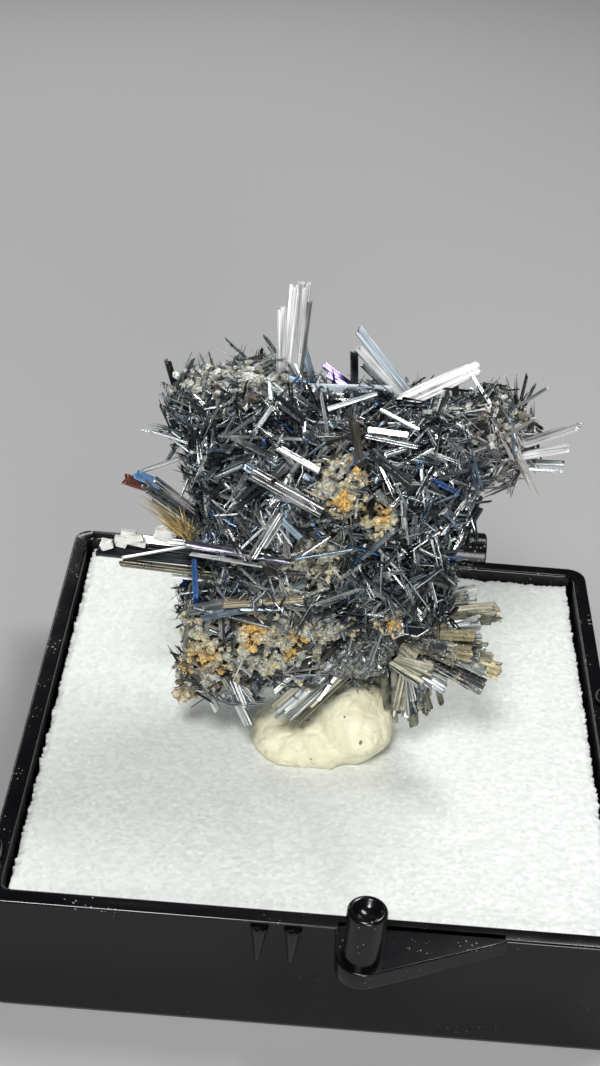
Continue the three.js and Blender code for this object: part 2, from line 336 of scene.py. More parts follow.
def add_range(tree, value, low, high, new_low, new_high):
    """A value moved from one range to another and kept inside it."""
    ends = {"From Min": low, "From Max": high, "To Min": new_low, "To Max": new_high}
    return add_node(tree, "ShaderNodeMapRange", {"Value": value, **ends}).outputs[0]


def add_mix(tree, factor, first, second):
    """The second colour laid over the first."""
    mix = add_node(tree, "ShaderNodeMix", data_type="RGBA")
    feed(tree, mix, {0: factor, 6: first, 7: second})
    return mix.outputs[2]


def add_bump(tree, height, strength, distance):
    """A normal from a height. The distance is in millimetres."""
    depth = {"Strength": strength, "Distance": distance * MM}
    return add_node(tree, "ShaderNodeBump", {"Height": height, **depth}).outputs[0]


# The plastic is nearly black, with faint rubs in its gloss and specks of dust, mostly on the rim.
black_plastic, tree, shader = new_material("black_polystyrene")
place = own_place(tree)
rubs = add_noise(tree, place, 400, 4).outputs["Fac"]
specks = add_cells(tree, place, 3800)
height = add_node(tree, "ShaderNodeSeparateXYZ", {0: place}).outputs["Z"]
near_rim = add_range(tree, height, (RIM - 1.2) * MM, RIM * MM, 0.35, 1.0)
dusty = add_range(tree, rubs, 0.48, 0.75, 0.0, 0.34)
dust = add_math(tree, "LESS_THAN", specks.outputs["Distance"], add_math(tree, "MULTIPLY", dusty, near_rim))
feed(tree, shader, {
    "Base Color": add_mix(tree, dust, (0.003, 0.003, 0.004, 1), (0.22, 0.22, 0.21, 1)),
    "Roughness": add_range(tree, rubs, 0, 1, 0.08, 0.3),
    "Specular IOR Level": 0.42,
    "IOR": 1.5,
    "Normal": add_bump(tree, rubs, 0.06, 0.05),
})

points, faces = joined(base_parts)
box_base = add_mesh("moulded_base", points, faces, black_plastic, smooth=True)


def shade_by_angle(piece, degrees):
    """Edges sharper than the angle stay crisp, and flat faces stay flat beside rounded edges."""
    mesh = bmesh.new()
    mesh.from_mesh(piece.data)
    for edge in mesh.edges:
        if len(edge.link_faces) == 2:
            edge.smooth = edge.calc_face_angle(0) < math.radians(degrees)
    mesh.to_mesh(piece.data)
    mesh.free()
    weighted = piece.modifiers.new("weighted", "WEIGHTED_NORMAL")
    weighted.keep_sharp = True
    depsgraph = bpy.context.evaluated_depsgraph_get()
    shaded = bpy.data.meshes.new_from_object(piece.evaluated_get(depsgraph))
    piece.modifiers.clear()
    piece.data = shaded


shade_by_angle(box_base, 50)
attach(box_base, "root")
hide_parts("box_base")


# ---------------------------------------------------------------- foam insert
# A square of white closed-cell foam, knife-cut, pushed down into the tray. The cut opens the
# cells, so the top is a field of small shallow facets, and the cut edges are a little ragged.

foam_low, foam_high = (Vector(corner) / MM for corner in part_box("foam_insert"))
FOAM_SIDE = foam_high.x - foam_low.x
FOAM_TOP = foam_high.z
CELL = 0.36  # width of a foam cell
GRID = 270  # points along each side of the top


def foam_heights(x, y, seed):
    """Depth of each opened cell's facet at the points: a random tilt, with thin raised walls."""
    rng = np.random.default_rng(seed)
    cells = int(FOAM_SIDE / CELL) + 6
    centres = rng.uniform(0.05, 0.95, (cells, cells, 2))
    tilt = rng.normal(0, 0.022, (cells, cells, 2))
    depth = rng.uniform(0, 0.022, (cells, cells))
    u, v = (x + FOAM_SIDE / 2) / CELL + 3, (y + FOAM_SIDE / 2) / CELL + 3
    iu, iv = np.floor(u).astype(int), np.floor(v).astype(int)
    near = np.full(x.shape, 9.0)
    second = np.full(x.shape, 9.0)
    height = np.zeros(x.shape)
    for di in (-1, 0, 1):
        for dj in (-1, 0, 1):
            a, b = np.clip(iu + di, 0, cells - 1), np.clip(iv + dj, 0, cells - 1)
            du, dv = u - (a + centres[a, b, 0]), v - (b + centres[a, b, 1])
            distance = np.hypot(du, dv)
            closer = distance < near
            second = np.where(closer, near, np.minimum(second, distance))
            facet = tilt[a, b, 0] * du + tilt[a, b, 1] * dv - depth[a, b]
            height = np.where(closer, facet, height)
            near = np.where(closer, distance, near)
    wall = np.clip(1 - (second - near) / 0.25, 0, 1)
    return height * (1 - wall) * 0.9 + 0.012 * wall


def foam_block():
    """The block: a grid over the top, worn away at its edges, and plain sides and underside."""
    steps = np.linspace(-1, 1, GRID)
    gx, gy = np.meshgrid(steps * FOAM_SIDE / 2, steps * FOAM_SIDE / 2)
    x, y = gx.ravel(), gy.ravel()
    z = FOAM_TOP - 0.06 + foam_heights(x, y, 5)
    points = []
    for px, py, pz in zip(x, y, z):
        border = min(FOAM_SIDE / 2 - abs(px), FOAM_SIDE / 2 - abs(py))
        worn = sum(noise.noise((px * f, py * f, f)) * w for f, w in ((1.1, 0.5), (3, 0.6), (7, 0.7)))
        ragged = max(0.0, 1 - border / 0.9)
        front = 0.25 if py < -FOAM_SIDE / 2 + 0.9 else 1.0
        shrink = 1 - ragged * (0.002 + 0.009 * front * worn)
        drop = 0.16 * front * max(0.0, 1 - border / 0.35) * (1 + worn)
        swell = 0.05 * noise.noise((px * 0.25, py * 0.25, 1.0))
        points.append((px * shrink, py * shrink, min(pz - drop + swell, FOAM_TOP + 0.02)))
    faces = []
    for j in range(GRID - 1):
        for i in range(GRID - 1):
            a = j * GRID + i
            faces.append((a, a + 1, a + 1 + GRID, a + GRID))
    rim = [i for i in range(GRID)] + [j * GRID + GRID - 1 for j in range(1, GRID)]
    rim += [(GRID - 1) * GRID + i for i in range(GRID - 2, -1, -1)]
    rim += [j * GRID for j in range(GRID - 2, 0, -1)]
    last = rim
    for z in (FOAM_TOP - 0.8, FLOOR_THICKNESS):
        start = len(points)
        points += [(points[k][0], points[k][1], z) for k in rim]
        ring = list(range(start, len(points)))
        for k in range(len(rim)):
            n = (k + 1) % len(rim)
            faces.append((last[n], last[k], ring[k], ring[n]))
        last = ring
    faces.append(tuple(reversed(last)))
    return points, faces


def add_ramp(tree, value, stops):
    """Colours over a value, each from a stop's position on."""
    ramp = add_node(tree, "ShaderNodeValToRGB", {"Fac": value})
    colours = ramp.color_ramp.elements
    for position, _ in stops[2:]:
        colours.new(position)
    for element, (position, colour) in zip(colours, stops):
        element.position = position
        element.color = (*colour, 1)
    return ramp


cut_foam, tree, shader = new_material("cut_foam")
place = own_place(tree)
cells = add_cells(tree, place, 4200)
tone = add_ramp(tree, cells.outputs["Color"], [(0, (0.66, 0.68, 0.66)), (1, (0.81, 0.83, 0.80))])
feed(tree, shader, {
    "Base Color": tone.outputs["Color"],
    "Roughness": add_range(tree, cells.outputs["Distance"], 0, 1, 0.25, 0.6),
    "Specular IOR Level": 0.35,
    "Coat Weight": 0.15,
    "Coat Roughness": 0.22,
    "Normal": add_bump(tree, add_noise(tree, place, 5200, 3).outputs["Fac"], 0.35, 0.05),
})

points, faces = foam_block()
foam = add_mesh("foam_block", points, faces, cut_foam, smooth=True)
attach(foam, "root")
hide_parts("foam_insert")


# ---------------------------------------------------------------- mineral tack
# A pinch of cream mineral tack, pressed flat on the foam by the specimen's weight: a low lobe
# at the left and a taller one at the right, with fine creases and a few specks pressed in.

TACK_LOBES = [  # middle and radii
    ((1.6, -1.6, 8.3), (2.2, 2.8, 2.2)),
    ((-1.5, -2.0, 7.2), (2.4, 2.5, 1.3)),
    ((0.0, -1.9, 7.4), (2.3, 2.6, 1.4)),
    ((0.6, 0.9, 7.9), (3.0, 2.4, 1.9)),
]


def fused(name, lumps, voxel, relax, subdivisions=4, shape=Vector):
    """Overlapping lumps fused to one closed skin, as a mesh in millimetres."""
    skin = bmesh.new()
    for middle, radii in lumps:
        ball = bmesh.ops.create_icosphere(skin, subdivisions=subdivisions, radius=1)
        stretch = Matrix.Translation(middle) @ Matrix.Diagonal((*radii, 1))
        for vertex in ball["verts"]:
            vertex.co = stretch @ shape(vertex.co)
    mesh = bpy.data.meshes.new(name)
    skin.to_mesh(mesh)
    skin.free()
    rough = bpy.data.objects.new(name, mesh)
    scene.collection.objects.link(rough)
    remesh = rough.modifiers.new("fuse", "REMESH")
    remesh.mode = "VOXEL"
    remesh.voxel_size = voxel
    smooth = rough.modifiers.new("relax", "SMOOTH")
    smooth.iterations = relax
    smooth.factor = 0.5
    depsgraph = bpy.context.evaluated_depsgraph_get()
    result = bpy.data.meshes.new_from_object(rough.evaluated_get(depsgraph))
    bpy.data.objects.remove(rough)
    return result


def shift_points(mesh, move):
    """Moves each vertex to move(position, normal)."""
    normals = [v.normal.copy() for v in mesh.vertices]
    for vertex, normal in zip(mesh.vertices, normals):
        vertex.co = move(vertex.co, normal)
    mesh.update()


def press_tack(p, n):
    """Folds and creases the skin, and keeps it on the foam."""
    fold = noise.noise(p * 0.9) * 0.16 + noise.noise(p * 2.3) * 0.05
    crease = 1 - abs(noise.noise(Vector((p.x * 1.3, p.y * 1.3, p.z * 3.2))))
    dent = 0.10 * max(0.0, crease - 0.93) / 0.07
    q = p + n * (fold - dent)
    q.z = max(q.z, FOAM_TOP - 0.05)
    return q


soft_tack, tree, shader = new_material("soft_tack")
place = own_place(tree)
cloud = add_noise(tree, place, 700, 5)
tone = add_ramp(tree, cloud.outputs["Fac"], [(0.3, (0.66, 0.63, 0.43)), (0.62, (0.80, 0.78, 0.59))])
torn = add_node(tree, "ShaderNodeVectorMath", operation="MULTIPLY_ADD")
feed(tree, torn, {0: cloud.outputs["Color"], 1: (0.6 * MM,) * 3, 2: place})
specks = add_cells(tree, torn.outputs[0], 1300)
reach = add_range(tree, specks.outputs["Color"], 0.5, 1, 0, 0.22)
speck = add_math(tree, "LESS_THAN", specks.outputs["Distance"], reach)
feed(tree, shader, {
    "Base Color": add_mix(tree, speck, tone.outputs["Color"], (0.16, 0.15, 0.13, 1)),
    "Roughness": 0.48,
    "Specular IOR Level": 0.35,
    "Subsurface Weight": 0.25,
    "Subsurface Radius": (1.0, 0.7, 0.4),
    "Subsurface Scale": 0.6 * MM,
    "Normal": add_bump(tree, add_noise(tree, place, 2600, 4).outputs["Fac"], 0.25, 0.05),
})

tack_mesh = fused("pressed_tack", TACK_LOBES, 0.11, 12)
shift_points(tack_mesh, press_tack)
tack_mesh.transform(Matrix.Scale(MM, 4))
tack = add_piece("pressed_tack", tack_mesh, soft_tack, smooth=True)
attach(tack, "root")
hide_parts("mineral_tack")


# ---------------------------------------------------------------- stibnite: the heart, coloured as painted shade
# The massive middle of the specimen, antimony sulphide grown solid. It shows only in the gaps, and its nearly
# black colour is painted shade for those deep gaps; everything else is rooted in it and follows its blocky
# shape.

HEART = [  # middle and radii of each block
    ((-3.7, 0.1, 22.9), (3.3, 3.5, 3.0)),
    ((-5.9, 1.6, 25.1), (2.4, 1.9, 1.0)),
    ((1.4, -0.1, 22.7), (4.0, 3.5, 3.1)),
    ((6.1, 0.9, 24.6), (2.4, 1.8, 1.4)),
    ((-1.1, -0.5, 18.2), (5.1, 3.6, 3.6)),
    ((-3.9, -1.2, 14.2), (3.3, 2.8, 2.5)),
    ((-5.6, -1.4, 12.2), (1.9, 1.8, 1.7)),
    ((2.6, 0.2, 14.4), (2.9, 2.3, 2.4)),
    ((0.2, 0.4, 11.8), (2.8, 2.0, 1.7)),
]


def squared(p):
    """Pushes a point of the unit ball out towards the unit cube."""
    return p * (0.55 + 0.45 / max(abs(p.x), abs(p.y), abs(p.z)))


heart_mesh = fused("heart", HEART, 0.28, 3, shape=squared)
shift_points(heart_mesh, lambda p, n: p + n * (0.75 * noise.noise(p * 0.5) + 0.4 * noise.noise(p * 1.3)))

# Nearly black all over: painted shade for the deep gaps between the needles, where the heart shows.
painted_shade_heart, tree, shader = new_material("painted_shade_heart")
cloud = add_noise(tree, own_place(tree), 2500, 6).outputs["Fac"]
tone = add_ramp(tree, cloud, [(0, (0.002, 0.002, 0.002)), (1, (0.05, 0.05, 0.055))])
feed(tree, shader, {
    "Base Color": tone.outputs["Color"],
    "Roughness": 0.7,
    "Metallic": 0.4,
    "Normal": add_bump(tree, cloud, 1.0, 0.2),
})

heart_surface = BVHTree.FromPolygons(
    [v.co.copy() for v in heart_mesh.vertices], [tuple(f.vertices) for f in heart_mesh.polygons])
heart_mesh.transform(Matrix.Scale(MM, 4))
heart = add_piece("massive_heart", heart_mesh, painted_shade_heart)
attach(heart, "root")
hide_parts("stibnite_cluster")


# ---------------------------------------------------------------- stibnite: crystals that stand out
# Steel-grey metallic prisms, flattened and deeply grooved along their length, so that each one
# looks like a sheaf of strands. They break off ragged, and tarnish turns a few of them blue.

STEEL = (0.36, 0.39, 0.40)
# Near white: a painted highlight for crystals that catch the light.
PALE_HIGHLIGHT = (0.94, 0.95, 0.94)
DARK = (0.09, 0.10, 0.11)
BLUE_STEEL = (0.36, 0.45, 0.54)
BLUE = (0.10, 0.24, 0.62)
PURPLE = (0.24, 0.18, 0.46)
RUST = (0.22, 0.08, 0.06)
TAN = (0.44, 0.38, 0.26)
GREY = (0.46, 0.48, 0.46)
HONEY = (0.40, 0.35, 0.20)
OLIVE = (0.30, 0.29, 0.22)
LILAC = (0.42, 0.40, 0.50)
PALE_BLUE = (0.66, 0.75, 0.82)
SKY = (0.22, 0.46, 0.80)
STRAND = 0.14  # width of one strand of a sheaf
ENDS = {  # how long the end tapers, in widths; what is left of width and thickness; its slant
    "cut": (0, 1, 1, 0.5),
    "spike": (0, 0.1, 0.1, 0),
    "point": (1.8, 0.08, 0.08, 0.3),
    "ragged": (0.12, 0.92, 0.85, 0.6),
    "bevel": (0.35, 0.75, 0.45, 0.25),
    "block": (0.08, 0.85, 0.85, 0.1),
}


class CrystalMesh:
    """Collects prisms: points and faces, with a colour, a coat and a grain map for each point."""

    def __init__(self, seed):
        self.random = random.Random(seed)
        self.points, self.faces, self.colours, self.coats, self.grain = [], [], [], [], []

    def prism(self, root, tip, width, thickness, across, colour, coat, end, sides):
        """One straight prism with an uneven section. Across is the way its width lies."""
        rand = self.random
        along = (tip - root).normalized()
        flat = along.cross(across)
        length = (tip - root).length
        groove = [1 + rand.uniform(-0.15, 0.12) for _ in range(sides)]
        taper, broad, deep, slant = ENDS[end]
        slope = rand.uniform(0, 2 * math.pi)
        levels = [(0, 1, 1), (length - taper * width, 1, 1), (length, broad, deep)]
        if not taper:
            del levels[1]
        start = len(self.points)
        for height, wide, thick in levels:
            for k in range(sides):
                a = 2 * math.pi * (k + 0.5) / sides
                c, s = (math.copysign(math.sqrt(abs(v)), v) for v in (math.cos(a), math.sin(a)))
                back = slant * width * (1 + math.cos(a - slope)) / 2
                reach = max(height - back, 0.05 * length) if height else 0.0
                place = root + along * reach + across * (c * groove[k] * wide * width / 2)
                self.points.append(place + flat * (s * groove[k] * thick * thickness / 2))
                self.grain.append((a * width + 0.37 * start, reach))
        last = start + (len(levels) - 1) * sides
        for ring in range(start, last, sides):
            for k in range(sides):
                a, b = ring + k, ring + (k + 1) % sides
                self.faces.append((a, b, b + sides, a + sides))
        self.faces.append(tuple(range(start + sides - 1, start - 1, -1)))
        self.faces.append(tuple(range(last, last + sides)))
        bright = rand.uniform(0.7, 1.15)
        self.colours += [tuple(min(1.0, bright * c) for c in colour) + (1.0,)] * (len(levels) * sides)
        self.coats += [coat] * (len(levels) * sides)

    def add(self, root, tip, width, thickness, colour=STEEL, coat=0.0, end="ragged", strand=STRAND,
            fan=1.0):
        """A crystal as a sheaf of strands, broad side towards the front and the sky. A fan over 1
        spreads the strands towards the tip by that much."""
        rand = self.random
        root, tip = Vector(root), Vector(tip)
        along = (tip - root).normalized()
        facing = Vector((0, -0.6, 0.8)) if abs(along.z) < 0.8 else Vector((0, -1, 0))
        across = Matrix.Rotation(rand.uniform(-0.5, 0.5), 3, along) @ along.cross(facing).normalized()
        flat = along.cross(across)
        count = max(1, round(width * fan / strand))
        for k in range(count):
            side = (k + 0.5) / count - 0.5
            offset = flat * (thickness * rand.uniform(-0.18, 0.18) if count > 1 else 0)
            foot, top = across * (side * width), across * (side * width * fan)
            back = rand.choice((0.1, 0.2, 0.7)) * rand.uniform(0, width * fan) if count > 1 else 0
            breadth = 1.5 * width * fan / count if count > 1 else width
            depth = thickness * (1 - 1.2 * side * side) * rand.uniform(0.7, 1)
            self.prism(root + offset + foot, tip + offset + top - along * back, breadth, depth,
                       across, colour, coat, end, 8)

    def piece(self, name, material):
        """The prisms as one object, with their colours, coats and grain map."""
        built = add_mesh(name, self.points, self.faces, material)
        mesh = built.data
        colour = mesh.attributes.new("crystal_colour", "FLOAT_COLOR", "POINT")
        colour.data.foreach_set("color", [c for rgba in self.colours for c in rgba])
        coat = mesh.attributes.new("crystal_coat", "FLOAT", "POINT")
        coat.data.foreach_set("value", self.coats)
        layer = mesh.uv_layers.new(name="grain")
        corners = [self.grain[loop.vertex_index] for loop in mesh.loops]
        layer.uv.foreach_set("vector", [c for uv in corners for c in uv])
        return built


def new_group(name, kind, inputs, outputs):
    """An empty node group with named sockets, and its input and output nodes."""
    group = bpy.data.node_groups.new(name, kind)
    for in_out, sockets in (("INPUT", inputs), ("OUTPUT", outputs)):
        for socket, what in sockets.items():
            group.interface.new_socket(socket, in_out=in_out, socket_type="NodeSocket" + what)
    return group, group.nodes.new("NodeGroupInput"), group.nodes.new("NodeGroupOutput")


def striation_group():
    """Fine grooves along a crystal, from its grain map: a height, and a value that varies."""
    group, entry, leave = new_group(
        "striations", "ShaderNodeTree", {"Fineness": "Float"}, {"Height": "Float", "Patch": "Float"})
    grain = add_node(group, "ShaderNodeUVMap", uv_map="grain")
    stretch = add_node(group, "ShaderNodeMapping", {"Vector": grain.outputs["UV"], "Scale": (1.0, 0.03, 1.0)})
    grooves = add_noise(group, stretch.outputs["Vector"], entry.outputs["Fineness"], 3)
    patches = add_noise(group, own_place(group), 900, 3)
    feed(group, leave, {"Height": grooves.outputs["Fac"], "Patch": patches.outputs["Fac"]})
    return group


def crystal_material(name, clean_roughness, coated_roughness, dirt):
    """Metal where the coat is 0, dull mineral where it is 1, with grooves painted darker in their hollows and
    lighter on their ridges (painted shade and painted highlight), and patchy tarnish.
    Dirt is how much of it lies under tan and grey-olive weathering, 0 to 1."""
    material, tree, shader = new_material(name)
    grooves = add_node(tree, "ShaderNodeGroup", {"Fineness": 9}, node_tree=striations)
    colour = add_node(tree, "ShaderNodeAttribute", attribute_name="crystal_colour")
    coat = add_node(tree, "ShaderNodeAttribute", attribute_name="crystal_coat")

    # Darker in the grooves and lighter on their ridges: painted shade and painted highlight, from the same
    # height as the bump.
    shade = add_range(tree, grooves.outputs["Height"], 0.33, 0.67, 0.35, 1.3)
    tint = add_node(tree, "ShaderNodeVectorMath", operation="SCALE")
    feed(tree, tint, {0: colour.outputs["Color"], "Scale": shade})
    blotches = add_noise(tree, own_place(tree), 2400, 8)
    blotches.inputs["Roughness"].default_value = 0.7
    hue = add_ramp(tree, blotches.outputs["Color"], [(0.4, (0.13, 0.14, 0.11)), (0.6, (0.56, 0.52, 0.36))])
    least, most = 0.60 - 0.25 * dirt, 0.72 - 0.20 * dirt
    weathering = add_range(tree, blotches.outputs["Fac"], least, most, 0, 0.85 if dirt else 0)

    patchy = add_math(tree, "MULTIPLY_ADD", grooves.outputs["Patch"], 0.9, -0.40)
    coated = add_math(tree, "ADD", coat.outputs["Fac"], patchy)
    coated = add_range(tree, coated, 0, 1, 0, 1)
    dull = add_math(tree, "MAXIMUM", coated, weathering)
    feed(tree, shader, {
        "Base Color": add_mix(tree, weathering, tint.outputs[0], hue.outputs["Color"]),
        "Metallic": add_range(tree, dull, 0, 1, 1.0, 0.1),
        "Roughness": add_range(tree, dull, 0, 1, clean_roughness, coated_roughness),
        "Normal": add_bump(tree, grooves.outputs["Height"], 0.6, 0.03),
    })
    return material


striations = striation_group()
stibnite = crystal_material("stibnite_metal", 0.24, 0.60, 0.0)
weathered = crystal_material("stibnite_weathered", 0.26, 0.65, 0.4)


def add_crystals(name, rows, seed):
    """One piece from rows of root, tip, width, thickness, colour and coat."""
    crystals = CrystalMesh(seed)
    for row in rows:
        crystals.add(*row)
    built = crystals.piece(name, stibnite)
    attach(built, "root")


# The tallest sheaf, slightly coated and coloured near white as a painted highlight, stands behind the middle
# of the top.
add_crystals("tall_blade_bundle", [
    ((-3.4, 2.9, 25.2), (-3.3, 3.4, 31.0), 0.60, 0.35, PALE_HIGHLIGHT, 0.75),
    ((-3.0, 2.7, 25.2), (-2.9, 3.3, 31.3), 0.62, 0.35, PALE_HIGHLIGHT, 0.65),
    ((-3.7, 2.8, 25.2), (-3.9, 3.2, 29.9), 0.38, 0.28, PALE_HIGHLIGHT, 0.80),
    ((-2.8, 2.6, 25.2), (-2.6, 3.0, 30.4), 0.24, 0.22, GREY, 0.2),
    ((-2.1, 2.6, 26.2), (-2.8, 2.9, 28.1), 0.32, 0.20, BLUE_STEEL, 0.1),
], 11)

# Leaning prisms on the top, some with a blue or violet bloom, and one broad flat blade.
add_crystals("top_prisms", [
    ((3.9, 1.8, 24.9), (-0.1, 3.4, 28.9), 0.45, 0.32, PALE_BLUE, 0.5),
    ((3.2, 1.7, 25.3), (-0.1, 2.8, 28.2), 0.38, 0.30, PALE_HIGHLIGHT, 0.35),
    ((2.4, 1.6, 25.8), (0.2, 2.4, 27.5), 0.28, 0.20, STEEL, 0.0),
    ((0.0, 1.8, 26.2), (-0.2, 2.6, 28.1), 0.34, 0.28, DARK, 0.0),
    ((0.4, 1.6, 26.2), (-1.7, 2.6, 27.2), 0.30, 0.25, PURPLE, 0.0),
    ((0.2, 1.4, 26.3), (-1.5, 2.1, 26.9), 0.24, 0.20, PURPLE, 0.0),
    ((1.8, 1.6, 26.6), (-2.3, 0.9, 26.7), 0.36, 0.25, PALE_BLUE, 0.4),
    ((-2.1, 1.5, 26.5), (-3.4, 1.9, 26.7), 0.18, 0.15, BLUE, 0.0),
    ((1.6, 1.0, 25.8), (6.1, 2.6, 27.8), 0.78, 0.30, PALE_HIGHLIGHT, 0.45),
    ((6.3, 2.4, 25.6), (7.2, 1.9, 27.2), 0.60, 0.40, GREY, 0.7),
    ((7.4, 1.6, 25.6), (9.4, 1.3, 27.6), 0.18, 0.15, GREY, 0.6),
], 12)

# Two diverging sheaves reach out at the upper right.
add_crystals("right_spray", [
    ((4.8, 0.7, 22.8), (11.1, -0.4, 26.6), 0.52, 0.28, PALE_HIGHLIGHT, 0.35),
    ((5.0, 0.6, 22.9), (10.6, -0.6, 25.4), 0.38, 0.22, PALE_HIGHLIGHT, 0.35),
    ((5.0, 0.6, 23.6), (10.7, 0.2, 24.0), 0.24, 0.18, STEEL, 0.1),
    ((4.6, 0.4, 23.4), (10.6, -0.4, 23.9), 0.20, 0.16, STEEL, 0.1),
    ((4.0, 0.2, 22.0), (8.4, -0.1, 24.7), 0.50, 0.35, STEEL, 0.1),
    ((4.2, 0.2, 21.9), (8.5, -0.2, 24.1), 0.34, 0.25, GREY, 0.4),
    ((4.4, -0.8, 22.9), (6.8, -0.2, 25.2), 0.30, 0.25, BLUE, 0.0),
], 13)

# At the left: a short sheaf with blue and rusty ends, and long thin prisms over the rim.
add_crystals("left_spray", [
    ((-7.9, 1.5, 22.4), (-9.6, 2.2, 25.7), 0.40, 0.22, PALE_HIGHLIGHT, 0.1),
    ((-8.2, 1.3, 22.6), (-9.2, 1.7, 24.8), 0.22, 0.16, STEEL, 0.0),
    ((-5.6, -1.0, 18.8), (-9.5, -2.2, 22.7), 0.38, 0.30, PALE_HIGHLIGHT, 0.0),
    ((-5.8, -1.1, 18.7), (-10.0, -2.5, 22.6), 0.40, 0.30, STEEL, 0.0),
    ((-6.2, -1.0, 18.5), (-9.7, -2.3, 22.1), 0.36, 0.28, PALE_HIGHLIGHT, 0.0),
    ((-9.1, -2.1, 22.3), (-10.4, -2.5, 23.1), 0.40, 0.30, SKY, 0.3),
    ((-9.8, -2.2, 22.2), (-10.9, -2.6, 22.8), 0.44, 0.32, RUST, 0.3),
    ((-6.6, -0.8, 18.8), (-9.5, -1.8, 21.3), 0.30, 0.22, TAN, 0.4),
    ((-6.9, -0.4, 23.6), (-10.2, -1.2, 22.4), 0.20, 0.16, GREY, 0.2),
    ((-4.9, -2.4, 18.1), (-12.1, -3.6, 19.1), 0.42, 0.38, DARK, 0.0),
    ((-5.2, -2.1, 18.8), (-10.1, -2.8, 19.5), 0.36, 0.26, PALE_HIGHLIGHT, 0.1),
    ((-4.9, -2.3, 18.4), (-9.6, -3.0, 19.2), 0.20, 0.20, DARK, 0.0),
    ((-7.1, -2.6, 19.3), (-10.8, -3.7, 18.9), 0.14, 0.12, PALE_HIGHLIGHT, 0.3),
    ((-4.8, -2.7, 17.6), (-11.0, -3.5, 18.5), 0.34, 0.28, OLIVE, 0.1),
    ((-5.0, -2.6, 17.1), (-8.4, -3.2, 17.7), 0.18, 0.15, PALE_HIGHLIGHT, 0.2),
    ((-6.0, -2.8, 16.8), (-8.0, -3.1, 16.5), 0.09, 0.08, DARK, 0.0),
], 14)

# The larger prisms that lie across the front of the felt.
add_crystals("front_prisms", [
    ((-2.5, -4.5, 20.0), (-7.7, -4.4, 20.5), 0.34, 0.28, LILAC, 0.1),
    ((-3.8, -5.0, 20.0), (-7.4, -4.6, 20.1), 0.20, 0.18, PALE_HIGHLIGHT, 0.1),
    ((-7.0, -3.8, 16.5), (-7.2, -4.0, 19.4), 0.22, 0.18, BLUE, 0.0),
    ((-5.7, -2.6, 25.6), (-3.5, -4.3, 25.7), 0.26, 0.20, PALE_HIGHLIGHT, 0.0),
    ((-1.5, -4.2, 25.1), (-3.6, -3.8, 26.0), 0.28, 0.22, PALE_HIGHLIGHT, 0.0),
    ((-1.2, -4.6, 23.1), (-4.7, -4.6, 25.0), 0.56, 0.30, PALE_HIGHLIGHT, 0.0),
    ((-2.7, -4.6, 23.7), (-5.1, -4.2, 25.2), 0.34, 0.25, BLUE_STEEL, 0.0),
    ((-3.2, -4.5, 22.8), (-4.4, -5.6, 20.7), 0.36, 0.22, PALE_HIGHLIGHT, 0.0),
    ((-2.9, -4.6, 22.7), (-3.8, -5.5, 21.3), 0.16, 0.15, STEEL, 0.0),
    ((-3.3, -4.4, 22.6), (-5.0, -5.2, 20.9), 0.16, 0.15, STEEL, 0.0),
    ((-6.4, -2.4, 25.5), (-2.4, -3.6, 26.4), 0.16, 0.12, GREY, 0.2),
    ((-4.8, -3.0, 26.0), (-3.9, -2.2, 27.3), 0.22, 0.15, STEEL, 0.0),
    ((-2.1, -5.0, 21.8), (-3.1, -5.0, 22.8), 0.26, 0.20, BLUE_STEEL, 0.0),
    ((0.4, -5.2, 21.5), (-2.3, -5.8, 21.1), 0.16, 0.15, BLUE_STEEL, 0.0),
    ((-0.7, -4.8, 21.9), (-2.2, -5.6, 21.0), 0.20, 0.15, PALE_HIGHLIGHT, 0.0),
    ((2.5, -4.2, 22.3), (0.8, -5.4, 21.1), 0.24, 0.20, BLUE_STEEL, 0.0),
    ((0.6, -2.4, 26.2), (3.2, -2.9, 26.1), 0.26, 0.20, STEEL, 0.0),
    ((0.7, -2.2, 26.4), (2.7, -2.6, 26.5), 0.24, 0.20, PALE_HIGHLIGHT, 0.0),
    ((2.8, -2.7, 25.9), (1.5, -3.5, 25.8), 0.22, 0.20, PALE_HIGHLIGHT, 0.0),
    ((1.4, -2.8, 25.3), (3.0, -3.6, 25.2), 0.22, 0.18, STEEL, 0.0),
    ((-1.3, -1.6, 27.0), (1.0, -0.9, 27.7), 0.22, 0.18, STEEL, 0.0),
    ((1.2, -1.6, 27.2), (3.1, -2.4, 26.7), 0.20, 0.16, PALE_HIGHLIGHT, 0.0),
    ((1.5, -3.8, 23.8), (2.5, -4.4, 22.8), 0.18, 0.14, PALE_HIGHLIGHT, 0.0),
    ((1.7, -3.0, 25.3), (1.2, -3.9, 24.3), 0.26, 0.20, BLUE_STEEL, 0.0),
    ((-1.9, -4.6, 18.6), (-7.4, -4.2, 16.3), 0.42, 0.35, GREY, 0.2),
    ((-1.8, -4.7, 18.1), (-6.7, -4.6, 16.3), 0.36, 0.30, BLUE_STEEL, 0.1),
    ((-1.7, -4.8, 18.1), (-5.7, -4.7, 17.3), 0.36, 0.30, TAN, 0.5),
    ((-3.2, -4.8, 16.3), (-7.2, -4.2, 16.7), 0.30, 0.25, STEEL, 0.0),
    ((-4.1, -4.4, 14.8), (-7.1, -4.2, 15.4), 0.22, 0.20, STEEL, 0.0),
], 15)

